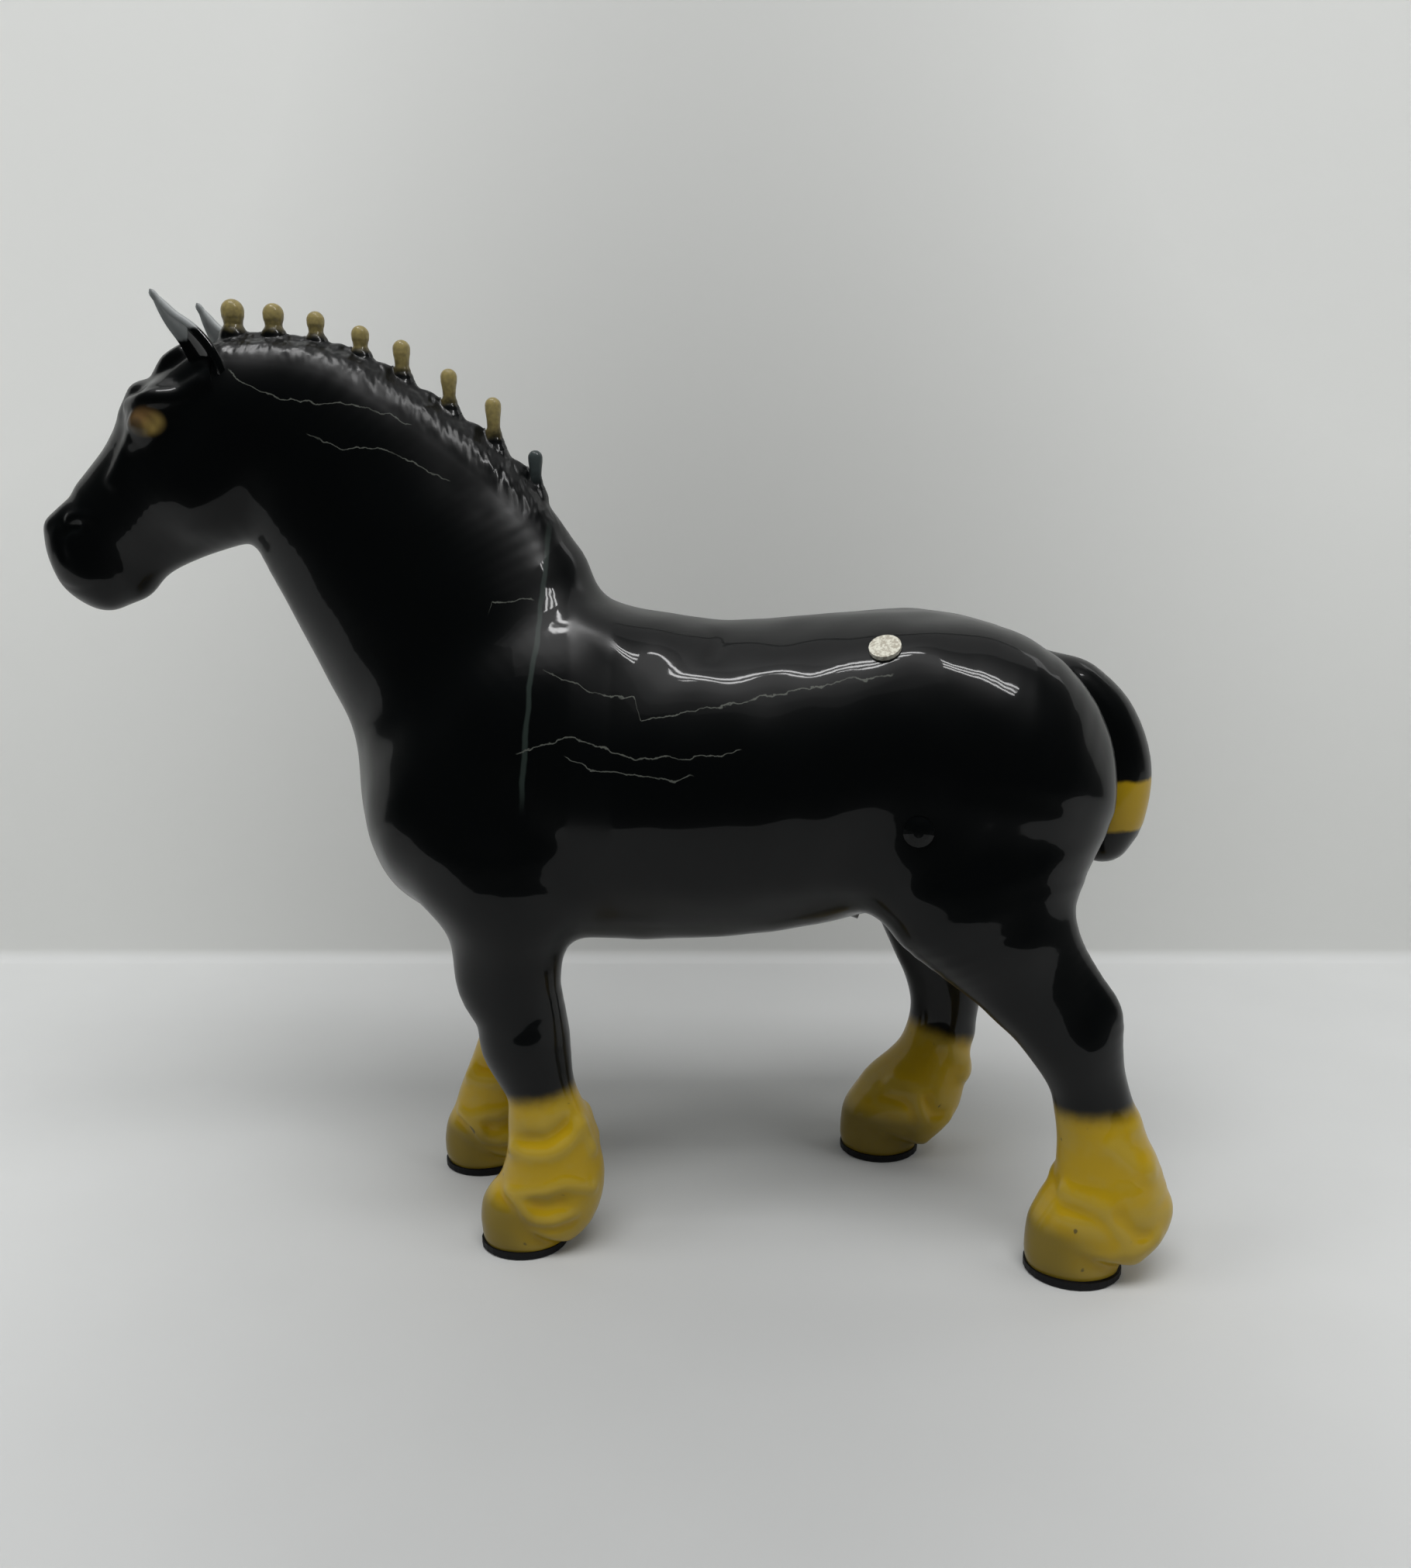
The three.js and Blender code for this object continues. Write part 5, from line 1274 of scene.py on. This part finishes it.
def make_lights():
    """A room lit from above and in front, and a long three-row lamp over the horse.

    The room is dark in the glaze, and pale where it shows beside the paper.
    """
    for name, x in (("left_fill", -1100), ("right_fill", 1200)):
        area_light(name, (x, -420, 800), (x * 0.1, 60, 80), (700, 700), 5.0, glossy=False)
    area_light("front_fill", (0, -600, 1300), (0, 40, 0), (1100, 500), 14.0, glossy=False)
    area_light("ceiling_glow", (150, 330, 1250), (150, 300, 0), (1800, 560), 1.7)
    for strip, power in enumerate((0.24, 0.16, 0.08)):
        area_light(f"front_glow_{strip + 1}", (-60, -260 - 200 * strip, 1250), (-60, -260 - 200 * strip, 0),
                   (700, 200), power)
    area_light("side_glow", (560, 360, 620), (0, 0, 150), (420, 280), 0.8)
    for row in range(3):
        place = (260, -350 + 66 * row, 1250)
        lamp = area_light(f"lamp_row_{row + 1}", place, (*place[:2], 0), (1600, 26), 4.6)
        lamp.rotation_euler.z -= math.radians(LAMP_TURN)
        lamp.visible_diffuse = False
    world = bpy.data.worlds.new("room")
    world.use_nodes = True
    background = world.node_tree.nodes["Background"]
    background.inputs["Color"].default_value = ROOM_DARK
    seen = world.node_tree.nodes.new("ShaderNodeLightPath").outputs["Is Camera Ray"]
    strength = world.node_tree.nodes.new("ShaderNodeMapRange")
    strength.inputs["To Min"].default_value = 1.0
    strength.inputs["To Max"].default_value = ROOM_SEEN
    world.node_tree.links.new(seen, strength.inputs["Value"])
    world.node_tree.links.new(strength.outputs["Result"], background.inputs["Strength"])
    bpy.context.scene.world = world
    bpy.context.scene.view_settings.view_transform = "Standard"


# Ears, soles and inlays

EAR_SPINE = [
    [-83.6, -7.8, 197.6], [-85, -8.7, 202.6], [-87.9, -9.4, 207], [-92.2, -9.7, 211], [-96.7, -9.6, 216.6],
]
OFF_EAR_STEP = 3
EAR_OPENS = (-0.5, -0.8, -0.35)
EAR_WIDTH = 9
EAR_THICKNESS = 1.5
EAR_CUP = 2.4
EAR_ROOT_SHARE = 0.95
EAR_BELLY = 1.45
EAR_TAPER = 0.66
EAR_TIP_SHARE = 0.2
EAR_TIP_ROUND = 0.94           # share of the ear's length where its tip begins to round off
EAR_RINGS = 48
EAR_ARC = 24
EAR_ARC_DEGREES = 80


def make_ear(name, side, material):
    step = OFF_EAR_STEP if side < 0 else 0
    spine = [[x + step * i / 4, y * side, z] for i, (x, y, z) in enumerate(EAR_SPINE)]
    places = catmull(np.array(spine, dtype=float), EAR_RINGS + 1)
    alongs = unit(np.gradient(places, axis=0))
    shares = np.linspace(0, 1, EAR_RINGS + 1)
    angles = np.radians(np.linspace(-EAR_ARC_DEGREES, EAR_ARC_DEGREES, EAR_ARC + 1))
    rings = []
    for t, centre, along in zip(shares, places, alongs):
        opens = np.array(EAR_OPENS)
        opens = unit(opens - along * opens.dot(along))
        wide = np.cross(along, opens)
        swell = EAR_ROOT_SHARE + EAR_BELLY * t * (1 - t)
        leaf = max(EAR_TIP_SHARE, (1 - t) ** EAR_TAPER * swell)
        rounding = max(0, t - EAR_TIP_ROUND) / (1 - EAR_TIP_ROUND)
        leaf *= max(0.12, math.sqrt(1 - rounding ** 2))
        half = EAR_WIDTH / 2 * leaf
        wall = min(EAR_THICKNESS / 2, half / 2)
        outer = arc_points(centre, wide, opens, angles, half, EAR_CUP * leaf, wall)
        inner = arc_points(centre, wide, opens, angles, half - wall, EAR_CUP * leaf, -wall)
        rings.append(np.vstack([outer, inner[::-1]]))
    count = len(rings[0])
    points = np.vstack([*rings, rings[0].mean(axis=0), rings[-1].mean(axis=0)])
    faces = []
    for i in range(len(rings) - 1):
        for k in range(count):
            a, b = i * count + k, i * count + (k + 1) % count
            faces += [[a, b, b + count], [a, b + count, a + count]]
    last = (len(rings) - 1) * count
    for k in range(count):
        faces.append([(k + 1) % count, k, len(points) - 2])
        faces.append([last + k, last + (k + 1) % count, len(points) - 1])
    faces = np.array(faces)
    if volume(points, faces) < 0:
        faces = faces[:, ::-1]
    ear = add_object(name + "_skin", points, faces)
    finish_piece(ear, name, material)


def arc_points(centre, wide, opens, angles, radius, depth, back):
    across = np.sin(angles)[:, None] * radius * wide
    return centre + across + (depth * (1 - np.cos(angles)) - back)[:, None] * opens


def catmull(points, count):
    """Even places along a Catmull-Rom curve through the points."""
    ends = np.vstack([2 * points[0] - points[1], points, 2 * points[-1] - points[-2]])
    result = []
    for place in np.linspace(0, len(points) - 1, count):
        i = min(int(place), len(points) - 2)
        t = place - i
        p0, p1, p2, p3 = ends[i:i + 4]
        result.append(0.5 * (2 * p1 + (p2 - p0) * t + (2 * p0 - 5 * p1 + 4 * p2 - p3) * t * t
                             + (3 * p1 - p0 - 3 * p2 + p3) * t ** 3))
    return np.array(result)


def volume(points, faces):
    a, b, c = (points[faces[:, k]] for k in range(3))
    return np.einsum("ij,ij->i", a, np.cross(b, c)).sum() / 6


def keep_solid(name, slot_material):
    """A piece that is shown as it was packed, with its own surface."""
    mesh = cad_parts[name].data
    mesh.materials.clear()
    mesh.materials.append(slot_material)


black = black_glaze()
body = body_glaze()
make_trunk_and_tail(body, tail_glaze())
make_neck(body, body)
make_bobbles(bobble_glaze())
make_head(head_glaze())
make_leg("near_fore_leg", sock_glaze("near fore sock", -24, 38.6, 0.12))
make_leg("off_fore_leg", sock_glaze("off fore sock", -39, 42, 0.1))
make_leg("near_hind_leg", sock_glaze("near hind sock", 100, 39.5, 0.08))
make_leg("off_hind_leg", sock_glaze("off hind sock", 76, 38, -0.3))
ear_material = satin_ear_glaze()
make_ear("near_ear", 1, ear_material)
make_ear("off_ear", -1, ear_material)
keep_solid("back_plug", bare_clay())
keep_solid("flank_stud", black)
sole = sole_black()
for name in LIMBS:
    keep_solid(name.replace("_leg", "_sole"), sole)

make_camera()
make_lights()
make_stage()
make_apron()
